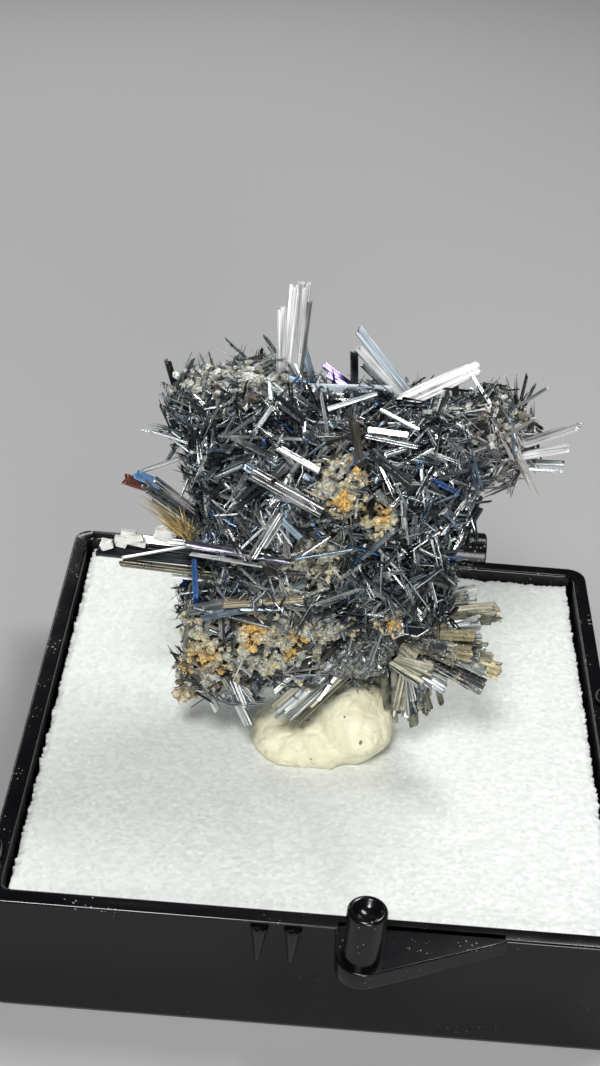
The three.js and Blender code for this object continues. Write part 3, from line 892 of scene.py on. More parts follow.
# Coarse grey prisms fan down and left over the tack, side by side.
rand = random.Random(9)
fan_rows = [
    ((-7.1, -2.6, 12.0), (-5.6, -3.6, 9.5), 0.34, 0.25, GREY, 0.3),
    ((-5.6, -3.0, 12.0), (-3.9, -4.2, 9.2), 0.42, 0.30, GREY, 0.3),
    ((-4.0, -4.2, 12.6), (-5.4, -4.9, 14.5), 0.16, 0.12, PALE_HIGHLIGHT, 0.2),
    ((0.4, -3.2, 12.3), (-0.5, -3.9, 11.0), 0.20, 0.18, PALE_HIGHLIGHT, 0.1),
]
for k in range(22):
    along = k / 21
    shift = Vector([rand.gauss(0, 0.14) for _ in range(3)])
    root = Vector((-0.6, -3.3, 13.4)).lerp(Vector((1.2, -2.2, 11.6)), along) + shift
    tip = Vector((-3.2, -4.6, 11.0)).lerp(Vector((-1.3, -3.7, 9.3)), along) + shift
    tip = root.lerp(tip, rand.uniform(0.8, 1.05))
    colour, coat = rand.choice(((STEEL, 0.4), (GREY, 0.4), (BLUE_STEEL, 0.3), (OLIVE, 0.4), (GREY, 0.2)))
    fan_rows.append((root, tip, rand.uniform(0.18, 0.34), 0.22, colour, coat))
add_crystals("bottom_fan", fan_rows, 16)


# ---------------------------------------------------------------- stibnite: the rosette
# At the lower right broad thin blades radiate from one root like petals, steel-grey inside and
# stained honey and olive towards the edge, with a fan of clearer square-ended crystals below.

def add_fan(crystals, root, reach, spread, count, start, length, width, fan, colours, end="ragged"):
    """Blades that point away from one root, scattered about reach, begun at random distances."""
    rand = crystals.random
    for _ in range(count):
        aim = Vector(reach).normalized() + Vector([s * rand.uniform(-1, 1) for s in spread])
        aim.normalize()
        foot = Vector(root) + Vector([rand.uniform(-0.4, 0.4) for _ in range(3)])
        foot += aim * rand.uniform(*start)
        tip = foot + aim * rand.uniform(*length)
        colour, coat = rand.choice(colours)
        thickness = rand.uniform(0.08, 0.16)
        crystals.add(foot, tip, rand.uniform(*width), thickness, colour, coat, end, 0.17, fan)


rosette = CrystalMesh(17)
for row in [
    ((3.1, -1.4, 14.1), (7.6, -1.4, 15.1), 0.35, 0.2, STEEL, 0.3),
    ((3.3, -1.0, 14.6), (8.4, -1.0, 15.5), 0.45, 0.2, OLIVE, 0.5),
    ((4.4, -0.6, 15.0), (8.6, -0.6, 15.2), 0.45, 0.2, HONEY, 0.5),
    ((3.9, -0.4, 15.4), (7.4, 0.2, 15.9), 0.30, 0.2, GREY, 0.4),
    ((4.8, -2.2, 13.9), (8.8, -3.2, 13.2), 0.45, 0.2, HONEY, 0.5),
    ((4.8, -2.4, 13.2), (8.0, -3.8, 12.8), 0.45, 0.2, DARK, 0.3),
    ((3.0, -2.6, 12.9), (4.8, -3.5, 12.4), 0.40, 0.16, GREY, 0.3),
    ((4.0, -2.9, 12.9), (6.0, -3.9, 12.5), 0.40, 0.16, STEEL, 0.3),
    ((3.2, -2.9, 13.3), (5.2, -3.7, 13.1), 0.45, 0.16, OLIVE, 0.5),
]:
    rosette.add(*row, fan=2.4)
for row in [
    ((3.0, -2.4, 16.4), (3.3, -3.2, 15.0), 0.50, 0.20, PALE_HIGHLIGHT, 0.2),
    ((2.5, -2.6, 16.8), (2.7, -3.4, 15.2), 0.30, 0.20, PALE_HIGHLIGHT, 0.2),
    ((1.5, -3.6, 18.4), (2.8, -4.2, 18.6), 0.45, 0.30, BLUE, 0.0),
]:
    rosette.add(*row)
petals = [(OLIVE, 0.4), (GREY, 0.3), (STEEL, 0.1), (STEEL, 0.3), (TAN, 0.5), (DARK, 0.3), (GREY, 0.1)]
edges = [(HONEY, 0.5), (OLIVE, 0.4), (GREY, 0.3), (STEEL, 0.2)]
add_fan(rosette, (3.2, -1.4, 13.7), (1, -0.25, 0.05), (0.1, 0.30, 0.34), 60, (0.0, 2.6), (1.2, 2.6),
        (0.18, 0.4), 2.6, petals)
add_fan(rosette, (3.2, -1.4, 13.7), (1, -0.25, 0.05), (0.1, 0.24, 0.30), 20, (2.4, 3.2), (1.2, 2.0),
        (0.2, 0.4), 2.2, edges)
add_fan(rosette, (3.2, 0.2, 14.2), (1, 0.2, 0.25), (0.1, 0.5, 0.35), 30, (0.0, 2.0), (1.4, 2.8),
        (0.18, 0.4), 2.4, petals)
add_fan(rosette, (2.6, -2.6, 15.8), (0.1, -0.6, 1), (0.5, 0.3, 0.3), 18, (0.0, 0.4), (1.2, 2.2),
        (0.22, 0.45), 1.0, [(STEEL, 0.0), (BLUE_STEEL, 0.0), (STEEL, 0.1), (PALE_HIGHLIGHT, 0.1)])
add_fan(rosette, (3.9, -1.5, 12.8), (0.16, -0.30, -1), (0.34, 0.25, 0.1), 70, (0.0, 0.6), (1.8, 3.2),
        (0.16, 0.36), 1.0, [(DARK, 0.1), (OLIVE, 0.3), (DARK, 0.3), (GREY, 0.2)], end="bevel")
noise.seed_set(17)
for point in rosette.points:  # the blades are bent and crowded
    point += 0.22 * noise.noise_vector(point * 0.9) + 0.10 * noise.noise_vector(point * 3.5)
rosette_blades = rosette.piece("rosette_blades", weathered)
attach(rosette_blades, "root")


# ---------------------------------------------------------------- stibnite: the needle felt
# Everywhere else the heart is covered by a felt of short needles, single and in parallel sheaves,
# that lie along it in shifting directions or lean out of it. They are patterned by Geometry Nodes.

STAINS = [  # middle, reach and colour of the oxide stains on the felt
    ((-0.5, -3.4, 25.6), 1.5, (0.42, 0.37, 0.24)),
    ((-0.6, -4.0, 23.8), 1.4, (0.44, 0.38, 0.24)),
    ((1.6, -4.0, 23.0), 1.0, (0.46, 0.40, 0.26)),
    ((-1.6, -4.2, 19.9), 1.8, (0.46, 0.43, 0.31)),
    ((-3.4, -4.0, 15.4), 2.8, (0.48, 0.46, 0.34)),
    ((-6.6, -3.0, 13.4), 3.0, (0.50, 0.46, 0.32)),
    ((-0.6, -4.0, 14.6), 2.6, (0.46, 0.45, 0.36)),
    ((3.4, -2.6, 16.6), 1.4, (0.46, 0.42, 0.28)),
    ((-7.2, 1.8, 26.2), 2.2, (0.50, 0.52, 0.50)),
    ((-4.8, 1.4, 26.4), 2.0, (0.50, 0.52, 0.49)),
    ((7.4, 0.4, 25.2), 2.6, (0.36, 0.34, 0.31)),
    ((4.4, 1.0, 26.4), 1.4, (0.50, 0.50, 0.47)),
    ((-4.0, 3.6, 20.0), 2.6, (0.40, 0.37, 0.27)),
    ((3.0, 3.4, 16.0), 2.2, (0.44, 0.38, 0.26)),
]
OCHRE = (0.62, 0.40, 0.13)
OCHRE_SPOTS = [  # x, z and reach of the ochre powder on the front
    (0.3, 25.4, 0.40), (-0.2, 23.6, 0.60), (0.5, 23.0, 0.50), (1.7, 23.0, 0.45), (-4.0, 16.0, 0.60),
    (-4.0, 15.2, 0.45), (-6.9, 13.4, 0.60), (-6.2, 13.9, 0.45), (-5.4, 12.9, 0.45), (-1.6, 15.4, 0.50),
    (-2.1, 14.3, 0.35), (3.0, 16.2, 0.45), (-7.4, 12.4, 0.40),
]


def ochre_at(place):
    """How strongly ochre powder lies on a place on the front of the specimen, 0 to 1."""
    if place.y > -1:
        return 0.0
    near = min(math.hypot(place.x - x, place.z - z) / reach for x, z, reach in OCHRE_SPOTS)
    return max(0.0, min(1.0, 2.0 * (1.2 - near + 0.8 * noise.noise(place * 2.2))))


def stain_at(place):
    """Colour of the stain and how strong it is, 0 to 1, at a place in millimetres."""
    near = min(STAINS, key=lambda stain: (place - Vector(stain[0])).length / stain[1])
    strength = 1.15 - (place - Vector(near[0])).length / near[1] + 0.6 * noise.noise(place * 1.2)
    ochre = ochre_at(place)
    colour = Vector(near[2]).lerp(Vector(OCHRE), ochre)
    return tuple(colour), max(0.0, min(0.85, strength), 0.8 * ochre)


def needle_kinds():
    """Hidden patterns for the felt, 1 mm long up +Z: hairs, single needles and sheaves."""
    kinds = bpy.data.collections.new("needle_kinds")
    rand = random.Random(3)
    for number, count in enumerate((1, 1, 1, 1, 2, 2, 3, 3, 4, 6)):
        pattern = CrystalMesh(40 + number)
        width = 0.07 if number < 2 else 0.17
        for _ in range(count):
            x, y = rand.uniform(-0.5, 0.5) * count * 0.09, rand.uniform(-0.05, 0.05) * count
            foot = Vector((x, y, rand.uniform(-0.3, 0.0)))
            top = Vector((x + rand.uniform(-0.03, 0.03) * count, y, rand.uniform(0.6, 1.0)))
            across = Matrix.Rotation(rand.uniform(-0.3, 0.3), 3, "Z") @ Vector((1, 0, 0))
            breadth, depth = width * rand.uniform(0.8, 1.4), width * rand.uniform(0.5, 0.9)
            end = "cut" if number % 3 else "spike"
            pattern.prism(foot, top, breadth, depth, across, STEEL, 0, end, 4)
        built = pattern.piece(f"needle_kind_{number}", stibnite)
        for name in ("crystal_colour", "crystal_coat"):  # the felt gives each needle its own
            built.data.attributes.remove(built.data.attributes[name])
        scene.collection.objects.unlink(built)
        kinds.objects.link(built)
    return kinds


def named_attribute(tree, name, kind="FLOAT"):
    node = add_node(tree, "GeometryNodeInputNamedAttribute", {"Name": name}, data_type=kind)
    return node.outputs["Attribute"]


def add_vector_math(tree, operation, first, second):
    """The result of a Vector Math node. For SCALE the second is a number."""
    node = add_node(tree, "ShaderNodeVectorMath", operation=operation)
    feed(tree, node, {0: first, "Scale" if operation == "SCALE" else 1: second})
    return node.outputs[0]


def add_random(tree, kind, low, high, seed=0):
    """A random value for each point: kind is FLOAT_VECTOR, FLOAT or INT."""
    first = {"FLOAT_VECTOR": 0, "FLOAT": 2, "INT": 4}[kind]
    node = add_node(tree, "FunctionNodeRandomValue", data_type=kind)
    feed(tree, node, {first: low, first + 1: high, "Seed": seed})
    return node.outputs[first // 2]


def felt_tree():
    """Geometry Nodes: needles over a surface, in random kinds, sizes and shades."""
    tree, entry, leave = new_group("needle_felt", "GeometryNodeTree", {
        "Geometry": "Geometry", "Needles": "Collection", "Density": "Float", "Shortest": "Float",
        "Longest": "Float", "Thickness": "Float", "Lean": "Float", "Lift": "Float",
        "First Kind": "Int", "Seed": "Int", "Material": "Material",
    }, {"Geometry": "Geometry"})
    given = entry.outputs

    def chance(kind, low, high, stream):
        return add_random(tree, kind, low, high, add_math(tree, "ADD", given["Seed"], 100 * stream))

    density = add_math(tree, "MULTIPLY", given["Density"], named_attribute(tree, "cover"))
    spread = add_node(tree, "GeometryNodeDistributePointsOnFaces", {
        "Mesh": given["Geometry"], "Density": density, "Seed": given["Seed"]})
    normal = spread.outputs["Normal"]

    # neighbouring needles share a direction, which drifts over the surface
    drift = add_node(tree, "ShaderNodeTexNoise", {"Scale": 330, "Detail": 1}).outputs["Color"]
    common = add_vector_math(tree, "SUBTRACT", drift, (0.5, 0.5, 0.5))
    common = add_vector_math(tree, "SCALE", common, 5.0)
    aim = add_vector_math(tree, "ADD", common, chance("FLOAT_VECTOR", (-1, -1, -1), (1, 1, 1), 1))
    tangent = add_vector_math(tree, "CROSS_PRODUCT", aim, normal)
    tangent = add_node(tree, "ShaderNodeVectorMath", {0: tangent}, operation="NORMALIZE").outputs[0]

    # most lie nearly flat, and a few stand up where the felt is free of stain
    freedom = named_attribute(tree, "freedom")
    steep = add_math(tree, "POWER", chance("FLOAT", 0.0, 1.0, 2), 2.2)
    upright = add_math(tree, "MULTIPLY", given["Lean"], freedom)
    lean = add_math(tree, "MULTIPLY_ADD", steep, upright, -0.10)
    aim = add_vector_math(tree, "ADD", tangent, add_vector_math(tree, "SCALE", normal, lean))
    align = add_node(tree, "FunctionNodeAlignRotationToVector", {"Vector": aim}, axis="Z")
    spin = add_node(tree, "FunctionNodeAxisAngleToRotation", {
        "Axis": (0, 0, 1), "Angle": chance("FLOAT", 0.0, 2 * math.pi, 3)})
    turn = add_node(tree, "FunctionNodeRotateRotation", {0: align.outputs[0], 1: spin.outputs[0]},
                    rotation_space="LOCAL")
    rise = chance("FLOAT", 0.0, add_math(tree, "MULTIPLY", given["Lift"], freedom), 4)
    raised = add_node(tree, "GeometryNodeSetPosition", {
        "Geometry": spread.outputs["Points"], "Offset": add_vector_math(tree, "SCALE", normal, rise)})

    # each needle takes one shade, a few of them near white as painted glints, and some of the stain under it
    shade = add_ramp(tree, chance("FLOAT", 0.0, 1.0, 5), [
        (0.0, DARK), (0.40, STEEL), (0.66, BLUE_STEEL), (0.76, GREY), (0.87, PALE_HIGHLIGHT), (0.985, BLUE)])
    shade.color_ramp.interpolation = "CONSTANT"
    strength = add_math(tree, "MULTIPLY", named_attribute(tree, "stain"), chance("FLOAT", 0.2, 1.0, 9))
    stain = named_attribute(tree, "stain_colour", "FLOAT_COLOR")
    points = raised.outputs[0]
    for name, kind, value in (
        ("crystal_colour", "FLOAT_COLOR", add_mix(tree, strength, shade.outputs["Color"], stain)),
        ("crystal_coat", "FLOAT", strength),
    ):
        store = add_node(tree, "GeometryNodeStoreNamedAttribute", data_type=kind, domain="POINT")
        feed(tree, store, {"Geometry": points, "Name": name, "Value": value})
        points = store.outputs[0]

    kinds = add_node(tree, "GeometryNodeCollectionInfo", {
        "Collection": given["Needles"], "Separate Children": True, "Reset Children": True})
    thick = add_math(tree, "MULTIPLY", chance("FLOAT", 0.65, 1.45, 7), given["Thickness"])
    length = chance("FLOAT", given["Shortest"], given["Longest"], 8)
    size = add_node(tree, "ShaderNodeCombineXYZ", {"X": thick, "Y": thick, "Z": length})
    planted = add_node(tree, "GeometryNodeInstanceOnPoints", {
        "Points": points, "Instance": kinds.outputs[0], "Pick Instance": True,
        "Instance Index": chance("INT", given["First Kind"], 9, 6),
        "Rotation": turn.outputs[0], "Scale": size.outputs[0]})
    real = add_node(tree, "GeometryNodeRealizeInstances", {0: planted.outputs[0]})
    finish = add_node(tree, "GeometryNodeSetMaterial", {
        "Geometry": real.outputs[0], "Material": given["Material"]})
    feed(tree, leave, {"Geometry": finish.outputs[0]})
    return tree


def patterned(name, ground, tree, values):
    """A plain mesh object from a Geometry Nodes pattern on the ground mesh."""
    carrier = bpy.data.objects.new(name, ground)
    scene.collection.objects.link(carrier)
    modifier = carrier.modifiers.new("pattern", "NODES")
    modifier.node_group = tree
    for item in tree.interface.items_tree:
        if item.in_out == "INPUT" and item.name in values:
            modifier[item.identifier] = values[item.name]
    depsgraph = bpy.context.evaluated_depsgraph_get()
    mesh = bpy.data.meshes.new_from_object(carrier.evaluated_get(depsgraph))
    bpy.data.objects.remove(carrier)
    return add_piece(name, mesh, values["Material"])


def bare(place):
    """True where the heart meets the tack, and under the rosette, which the felt leaves free."""
    over_tack = place.z < 11.2 and -2.8 < place.x < 4.2
    return over_tack or (place - Vector((4.4, -2.2, 13.4))).length < 1.8


def grow_felt(name, low, high, seed, density, shortest, longest, lift=0.9, thickness=0.55, first_kind=0):
    """A piece of felt on the part of the heart between two heights. Density is per mm2, lengths
    and lift are in millimetres, and kinds from the first on are used."""
    ground = heart_mesh.copy()
    cover = ground.attributes.new("cover", "FLOAT", "POINT")
    freedom = ground.attributes.new("freedom", "FLOAT", "POINT")
    stain = ground.attributes.new("stain", "FLOAT", "POINT")
    stain_colour = ground.attributes.new("stain_colour", "FLOAT_COLOR", "POINT")
    for vertex in ground.vertices:
        place = vertex.co / MM
        colour, strength = stain_at(place)
        covered = low <= place.z < high and not bare(place)
        cover.data[vertex.index].value = (1 - 0.5 * strength) * covered
        freedom.data[vertex.index].value = 1 - 0.8 * strength
        stain.data[vertex.index].value = strength
        stain_colour.data[vertex.index].color = (*colour, 1)
    built = patterned(name, ground, felt, {
        "Needles": kinds, "Density": density / MM ** 2, "Shortest": shortest, "Longest": longest,
        "Thickness": thickness, "Lean": 0.5, "Lift": lift * MM, "First Kind": first_kind,
        "Seed": seed, "Material": stibnite,
    })
    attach(built, "root")


kinds = needle_kinds()
felt = felt_tree()
grow_felt("upper_felt", 21.5, 40.0, 21, 20.0, 0.6, 2.1)
grow_felt("middle_felt", 16.5, 21.5, 22, 20.0, 0.6, 2.4)
grow_felt("lower_felt", 9.0, 16.5, 23, 21.0, 0.4, 1.8, lift=0.8)
grow_felt("coarse_prisms", 14.0, 40.0, 24, 1.1, 1.4, 3.0, lift=1.0, thickness=1.0, first_kind=5)


# ---------------------------------------------------------------- oxide crusts
# Antimony oxides and a little limonite have weathered out of the felt: granular lumps caught
# between the needles, tan and grey-cream, with brighter ochre spots. Dull and dry.

TAN_CRUST = (0.54, 0.49, 0.33)
BROWN = (0.22, 0.18, 0.14)
ASH = (0.42, 0.42, 0.36)
CREAM = (0.66, 0.67, 0.63)

CRUSTS = [  # a point just off the surface, reach, number of lumps, colours
    ((-0.6, -6, 26.2), 0.75, 80, (TAN_CRUST, ASH, TAN_CRUST)),
    ((-0.9, -6, 24.6), 0.6, 60, (ASH, TAN_CRUST)),
    ((-0.2, -6, 23.3), 0.8, 120, (TAN_CRUST, ASH, BROWN)),
    ((1.6, -6, 23.1), 0.6, 60, (TAN_CRUST,)),
    ((2.4, -6, 22.3), 0.4, 20, (TAN_CRUST, ASH)),
    ((-1.6, -6, 20.0), 0.9, 90, (TAN_CRUST, ASH)),
    ((-3.8, -6, 15.8), 0.6, 70, (TAN_CRUST,)),
    ((-3.0, -6, 15.0), 1.6, 220, (ASH, TAN_CRUST, ASH)),
    ((-6.4, -5, 13.4), 1.0, 150, (TAN_CRUST, TAN_CRUST, ASH)),
    ((-7.2, -4, 12.0), 0.9, 70, (TAN_CRUST, BROWN, ASH)),
    ((-1.6, -6, 15.2), 0.6, 60, (TAN_CRUST, ASH)),
    ((0.2, -6, 14.6), 1.3, 200, (ASH, ASH, TAN_CRUST)),
    ((-2.6, -6, 12.8), 1.2, 150, (ASH, TAN_CRUST)),
    ((3.2, -5, 16.4), 0.8, 80, (TAN_CRUST, TAN_CRUST, ASH)),
    ((-7.8, 1.6, 28), 0.8, 90, (CREAM, ASH, ASH)),
    ((-6.4, 1.6, 28), 1.3, 140, (CREAM, ASH, BROWN)),
    ((-4.4, 1.4, 28), 1.0, 90, (CREAM, ASH)),
    ((7.2, 0.2, 27), 1.3, 110, (ASH, BROWN, CREAM)),
    ((-4.0, 6, 20.0), 1.6, 100, (TAN_CRUST, ASH)),
    ((3.0, 6, 16.0), 1.4, 88, (TAN_CRUST, BROWN, ASH)),
]

rand = random.Random(31)
lumps, lump_colours = [], []
for middle, reach, count, colours in CRUSTS:
    anchor, _, _, _ = heart_surface.find_nearest(Vector(middle))
    for _ in range(count):
        around = anchor + Vector([rand.gauss(0, 0.7 * reach) for _ in range(3)])
        place, normal, _, _ = heart_surface.find_nearest(around)
        size = rand.uniform(0.06, 0.16)
        radii = [size * rand.uniform(0.5, 1.8) for _ in range(3)]
        lumps.append((place + normal * rand.uniform(0.2, 0.8), radii))
        lump_colours.append(rand.choice(colours))
crust_mesh = fused("oxide_crust", lumps, 0.1, 1, subdivisions=1, shape=squared)
shift_points(crust_mesh, lambda p, n: p + n * (0.14 * noise.noise(p * 3) + 0.14 * noise.noise(p * 9)))



def drop_crumbs(mesh, least):
    """Takes away loose islands smaller than least, in mm3, and bubbles shut inside."""
    shell = bmesh.new()
    shell.from_mesh(mesh)
    waiting = set(shell.verts)
    crumbs = []
    while waiting:
        island = [waiting.pop()]
        for vertex in island:
            for edge in vertex.link_edges:
                other = edge.other_vert(vertex)
                if other in waiting:
                    waiting.remove(other)
                    island.append(other)
        skin = {face for vertex in island for face in vertex.link_faces}
        volume = sum(face.calc_area() * face.normal.dot(face.calc_center_median()) / 3 for face in skin)
        if volume < least:
            crumbs += island
    bmesh.ops.delete(shell, geom=crumbs, context="VERTS")
    shell.to_mesh(mesh)
    shell.free()


drop_crumbs(crust_mesh, 0.002)

nearest = KDTree(len(lumps))
for index, (middle, _) in enumerate(lumps):
    nearest.insert(middle, index)
nearest.balance()
colours = []
for vertex in crust_mesh.vertices:
    _, index, _ = nearest.find(vertex.co)
    powdered = Vector(lump_colours[index]).lerp(Vector(OCHRE), ochre_at(vertex.co))
    colours += [*powdered, 1.0]


def paint(mesh, name, kind, values):
    """Keeps values, one after another for all points, as an attribute of the mesh."""
    attribute = mesh.attributes.new(name, kind, "POINT")
    attribute.data.foreach_set("color" if kind == "FLOAT_COLOR" else "value", values)


paint(crust_mesh, "crust_colour", "FLOAT_COLOR", colours)
paint(crust_mesh, "cover", "FLOAT", [1.0] * len(crust_mesh.vertices))

oxide, tree, shader = new_material("antimony_oxide")
base = add_node(tree, "ShaderNodeAttribute", attribute_name="crust_colour")
grains = add_cells(tree, own_place(tree), 9000)
tint = add_node(tree, "ShaderNodeVectorMath", operation="SCALE")
shade = add_range(tree, grains.outputs["Color"], 0, 1, 0.35, 1.5)
feed(tree, tint, {0: base.outputs["Color"], "Scale": shade})
feed(tree, shader, {
    "Base Color": tint.outputs[0],
    "Roughness": 0.85,
    "Specular IOR Level": 0.3,
    "Normal": add_bump(tree, grains.outputs["Distance"], 0.8, 0.08),
})

crust_mesh.transform(Matrix.Scale(MM, 4))
crust = add_piece("oxide_crust", crust_mesh, oxide)
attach(crust, "root")


def grain_tree():
    """Geometry Nodes: small angular grains where a surface's cover is not 0, in its colour."""
    tree, entry, leave = new_group("crust_grains", "GeometryNodeTree", {
        "Geometry": "Geometry", "Density": "Float", "Size": "Float", "Seed": "Int", "Material": "Material",
    }, {"Geometry": "Geometry"})
    given = entry.outputs
    density = add_math(tree, "MULTIPLY", given["Density"], named_attribute(tree, "cover"))
    spread = add_node(tree, "GeometryNodeDistributePointsOnFaces", {
        "Mesh": given["Geometry"], "Density": density, "Seed": given["Seed"]})
    ball = add_node(tree, "GeometryNodeMeshIcoSphere", {"Radius": given["Size"], "Subdivisions": 1})
    planted = add_node(tree, "GeometryNodeInstanceOnPoints", {
        "Points": spread.outputs["Points"], "Instance": ball.outputs["Mesh"],
        "Rotation": add_random(tree, "FLOAT_VECTOR", (0, 0, 0), (6.28, 6.28, 6.28)),
        "Scale": add_random(tree, "FLOAT_VECTOR", (0.4, 0.4, 0.4), (1.6, 1.6, 1.6))})
    real = add_node(tree, "GeometryNodeRealizeInstances", {0: planted.outputs[0]})
    finish = add_node(tree, "GeometryNodeSetMaterial", {
        "Geometry": real.outputs[0], "Material": given["Material"]})
    feed(tree, leave, {"Geometry": finish.outputs[0]})
    return tree


grain_pattern = grain_tree()


def sprinkle(name, ground, density, size, seed, material=oxide):
    """A piece of loose grains on the ground mesh. Density is per mm2, size in millimetres."""
    built = patterned(name, ground, grain_pattern, {
        "Density": density / MM ** 2, "Size": size * MM, "Seed": seed, "Material": material,
    })
    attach(built, "root")


sprinkle("crust_grains", crust_mesh.copy(), 22, 0.045, 33)

ROSETTE_DUST = [  # middle, reach and colour of the dust on the rosette
    ((4.2, -2.6, 14.4), 1.3, TAN_CRUST),
    ((5.8, -2.8, 13.6), 0.7, CREAM),
    ((5.2, -1.6, 15.2), 0.8, TAN_CRUST),
    ((7.2, -3.0, 13.4), 0.6, ASH),
]
dusty = rosette_blades.data.copy()
covers, colours = [], []
for vertex in dusty.vertices:
    place = vertex.co / MM
    far, dust_colour = min(
        ((place - Vector(middle)).length / reach, rgb) for middle, reach, rgb in ROSETTE_DUST)
    covers.append(max(0.0, 1.3 - far + 0.5 * noise.noise(place * 1.5)))
    colours += [*dust_colour, 1.0]
paint(dusty, "cover", "FLOAT", covers)
paint(dusty, "crust_colour", "FLOAT_COLOR", colours)
sprinkle("rosette_dust", dusty, 30, 0.04, 34)


# A knot of bright granular stibnite joins the rosette to the massive part, above the tack.
KNOT = [  # middle and radii of each lump
    ((1.1, -2.8, 13.4), (1.0, 0.8, 1.0)),
    ((1.9, -2.7, 12.8), (0.9, 0.8, 0.8)),
    ((0.5, -2.8, 12.7), (0.7, 0.7, 0.6)),
    ((2.5, -2.6, 14.1), (0.8, 0.8, 1.0)),
]
knot_mesh = fused("knot", KNOT, 0.12, 2, subdivisions=3)
shift_points(knot_mesh, lambda p, n: p + n * (0.25 * noise.noise(p * 1.6) + 0.12 * noise.noise(p * 5)))
count = len(knot_mesh.vertices)
shades = [rand.choice((STEEL, GREY, DARK, DARK, OLIVE)) for _ in range(count)]
paint(knot_mesh, "cover", "FLOAT", [1.0] * count)
paint(knot_mesh, "crystal_colour", "FLOAT_COLOR", [c for rgb in shades for c in (*rgb, 1.0)])
paint(knot_mesh, "crystal_coat", "FLOAT", [rand.uniform(0, 0.5) for _ in range(count)])
knot_mesh.transform(Matrix.Scale(MM, 4))
sprinkle("knot_grains", knot_mesh.copy(), 90, 0.05, 36, stibnite)
knot = add_piece("granular_knot", knot_mesh, stibnite)
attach(knot, "root")


# ---------------------------------------------------------------- accessory crystals
# A few other crystals that grew on the stibnite: square-ended glassy prisms under the rosette,
# white cleavage blocks and a tuft of golden hairs at the left, and a brown lump at the foot.

GOLD = (0.66, 0.52, 0.20)
AMBER = (0.50, 0.30, 0.08)

def clear_material(name, texture, stops, transmission, roughness, ior):
    """Cloudy crystal, its veils coloured from a texture's value."""
    material, tree, shader = new_material(name)
    kind, inputs, output = texture
    veil = add_node(tree, kind, {"Vector": own_place(tree), **inputs})
    feed(tree, shader, {
        "Base Color": add_ramp(tree, veil.outputs[output], stops).outputs["Color"],
        "Transmission Weight": transmission,
        "Roughness": roughness,
        "IOR": ior,
    })
    return material


glassy = clear_material(
    "glassy_crystal", ("ShaderNodeTexNoise", {"Scale": 1800, "Detail": 4}, "Fac"),
    [(0.35, (0.05, 0.05, 0.04)), (0.7, (0.42, 0.42, 0.32))], 0.5, 0.06, 1.62)
white = clear_material(
    "white_spar", ("ShaderNodeTexVoronoi", {"Scale": 3500}, "Color"),
    [(0, (0.80, 0.79, 0.70)), (1, (0.96, 0.96, 0.94))], 0.25, 0.2, 1.6)
amber = clear_material(
    "amber_crystal", ("ShaderNodeTexVoronoi", {"Scale": 3600}, "Color"),
    [(0, (0.26, 0.18, 0.08)), (1, (0.86, 0.78, 0.56))], 0.25, 0.16, 1.6)

chisels = CrystalMesh(18)
for root, tip, width, thickness, end in [
    ((2.7, -1.8, 12.6), (3.2, -2.7, 9.9), 0.42, 0.30, "bevel"),
    ((3.3, -2.1, 12.6), (3.7, -3.1, 9.3), 0.36, 0.30, "bevel"),
    ((3.8, -1.8, 12.4), (4.1, -2.6, 9.8), 0.38, 0.30, "bevel"),
    ((4.2, -2.0, 12.2), (4.7, -3.1, 9.1), 0.52, 0.35, "bevel"),
    ((4.8, -1.5, 12.4), (5.4, -2.5, 9.7), 0.40, 0.30, "bevel"),
    ((5.4, -1.6, 12.2), (6.1, -2.4, 10.2), 0.34, 0.30, "bevel"),
    ((6.0, -1.2, 14.9), (8.7, -1.5, 15.5), 0.75, 0.30, "point"),
]:
    root, tip = Vector(root), Vector(tip)
    across = (tip - root).cross(Vector((0.2, -1, 0.3))).normalized()
    chisels.prism(root, tip, width, thickness, across, GREY, 0.0, end, 6)
clear = chisels.piece("glassy_chisels", glassy)
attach(clear, "root")

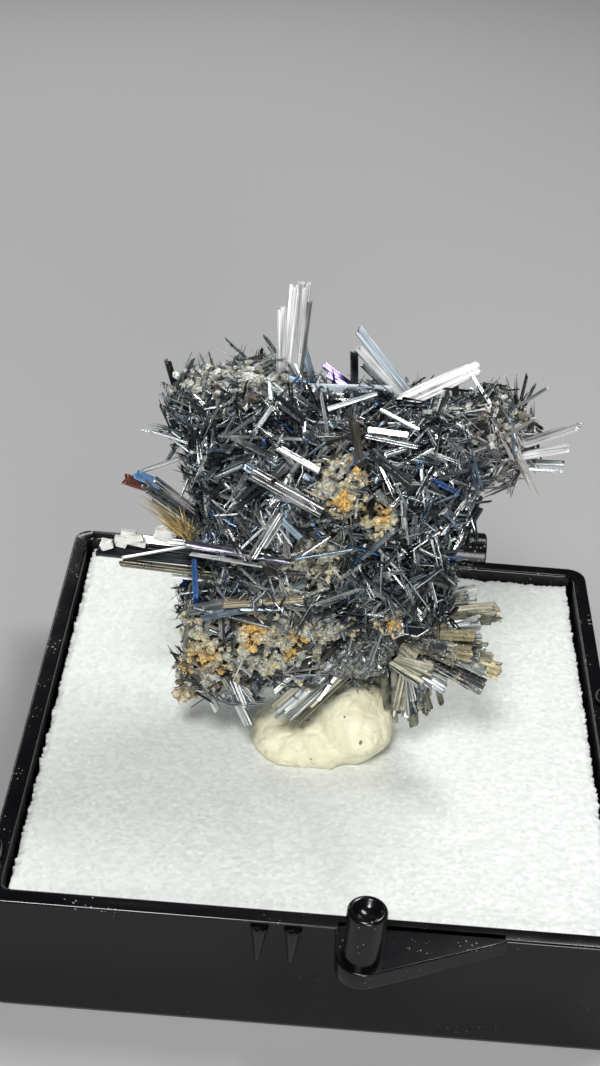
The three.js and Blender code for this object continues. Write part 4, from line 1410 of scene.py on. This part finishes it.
tuft = CrystalMesh(19)
rand = tuft.random
for end, scatter, count in (
    ((-8.7, -3.0, 21.2), 0.35, 70),
    ((-9.9, -2.7, 21.8), 0.22, 40),
    ((-7.4, -3.6, 21.2), 0.40, 40),
):
    for _ in range(count):
        root = Vector((-7.6, -3.4, 20.4)) + Vector([rand.gauss(0, 0.16) for _ in range(3)])
        tip = root.lerp(Vector(end), rand.uniform(0.5, 1.1))
        tip += Vector([rand.gauss(0, scatter) for _ in range(3)])
        tuft.add(root, tip, 0.05, 0.04, rand.choice((GOLD, GOLD, AMBER, DARK)), 0.5, "spike")
golden = tuft.piece("golden_tuft", stibnite)
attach(golden, "root")

spar = CrystalMesh(20)
rand = spar.random
for middle, half, count in (
    ((-8.75, -3.0, 20.1), (0.40, 0.2, 0.35), 7),
    ((-10.4, -3.2, 19.7), (0.5, 0.2, 0.22), 8),
    ((-11.3, -3.4, 19.45), (0.5, 0.12, 0.06), 3),
):
    for _ in range(count):
        place = Vector(middle) + Vector([rand.uniform(-h, h) for h in half])
        turn = Matrix.Rotation(rand.uniform(-0.5, 0.5), 3, Vector((rand.random(), 1, rand.random())))
        reach = turn @ Vector((rand.uniform(0.2, 0.45), 0, 0))
        spar.prism(place - reach, place + reach, rand.uniform(0.25, 0.5), rand.uniform(0.2, 0.4),
                   turn @ Vector((0, 0, 1)), GREY, 0, "block", 4)
blocks = spar.piece("white_spar", white)
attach(blocks, "root")

foot = CrystalMesh(35)
rand = foot.random
for _ in range(80):
    aim = Vector([rand.gauss(0, 1) for _ in range(3)]).normalized()
    middle = Vector((-7.5, -2.7, 10.0)) + aim * rand.uniform(0.2, 0.62)
    reach = Vector([rand.gauss(0, 1) for _ in range(3)]).normalized() * rand.uniform(0.12, 0.28)
    across = reach.cross(Vector((0, 0, 1))).normalized()
    foot.prism(middle - reach, middle + reach, rand.uniform(0.16, 0.34), rand.uniform(0.16, 0.3),
               across, HONEY, 0, "block", 6)
lump = foot.piece("amber_lump", amber)
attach(lump, "root")
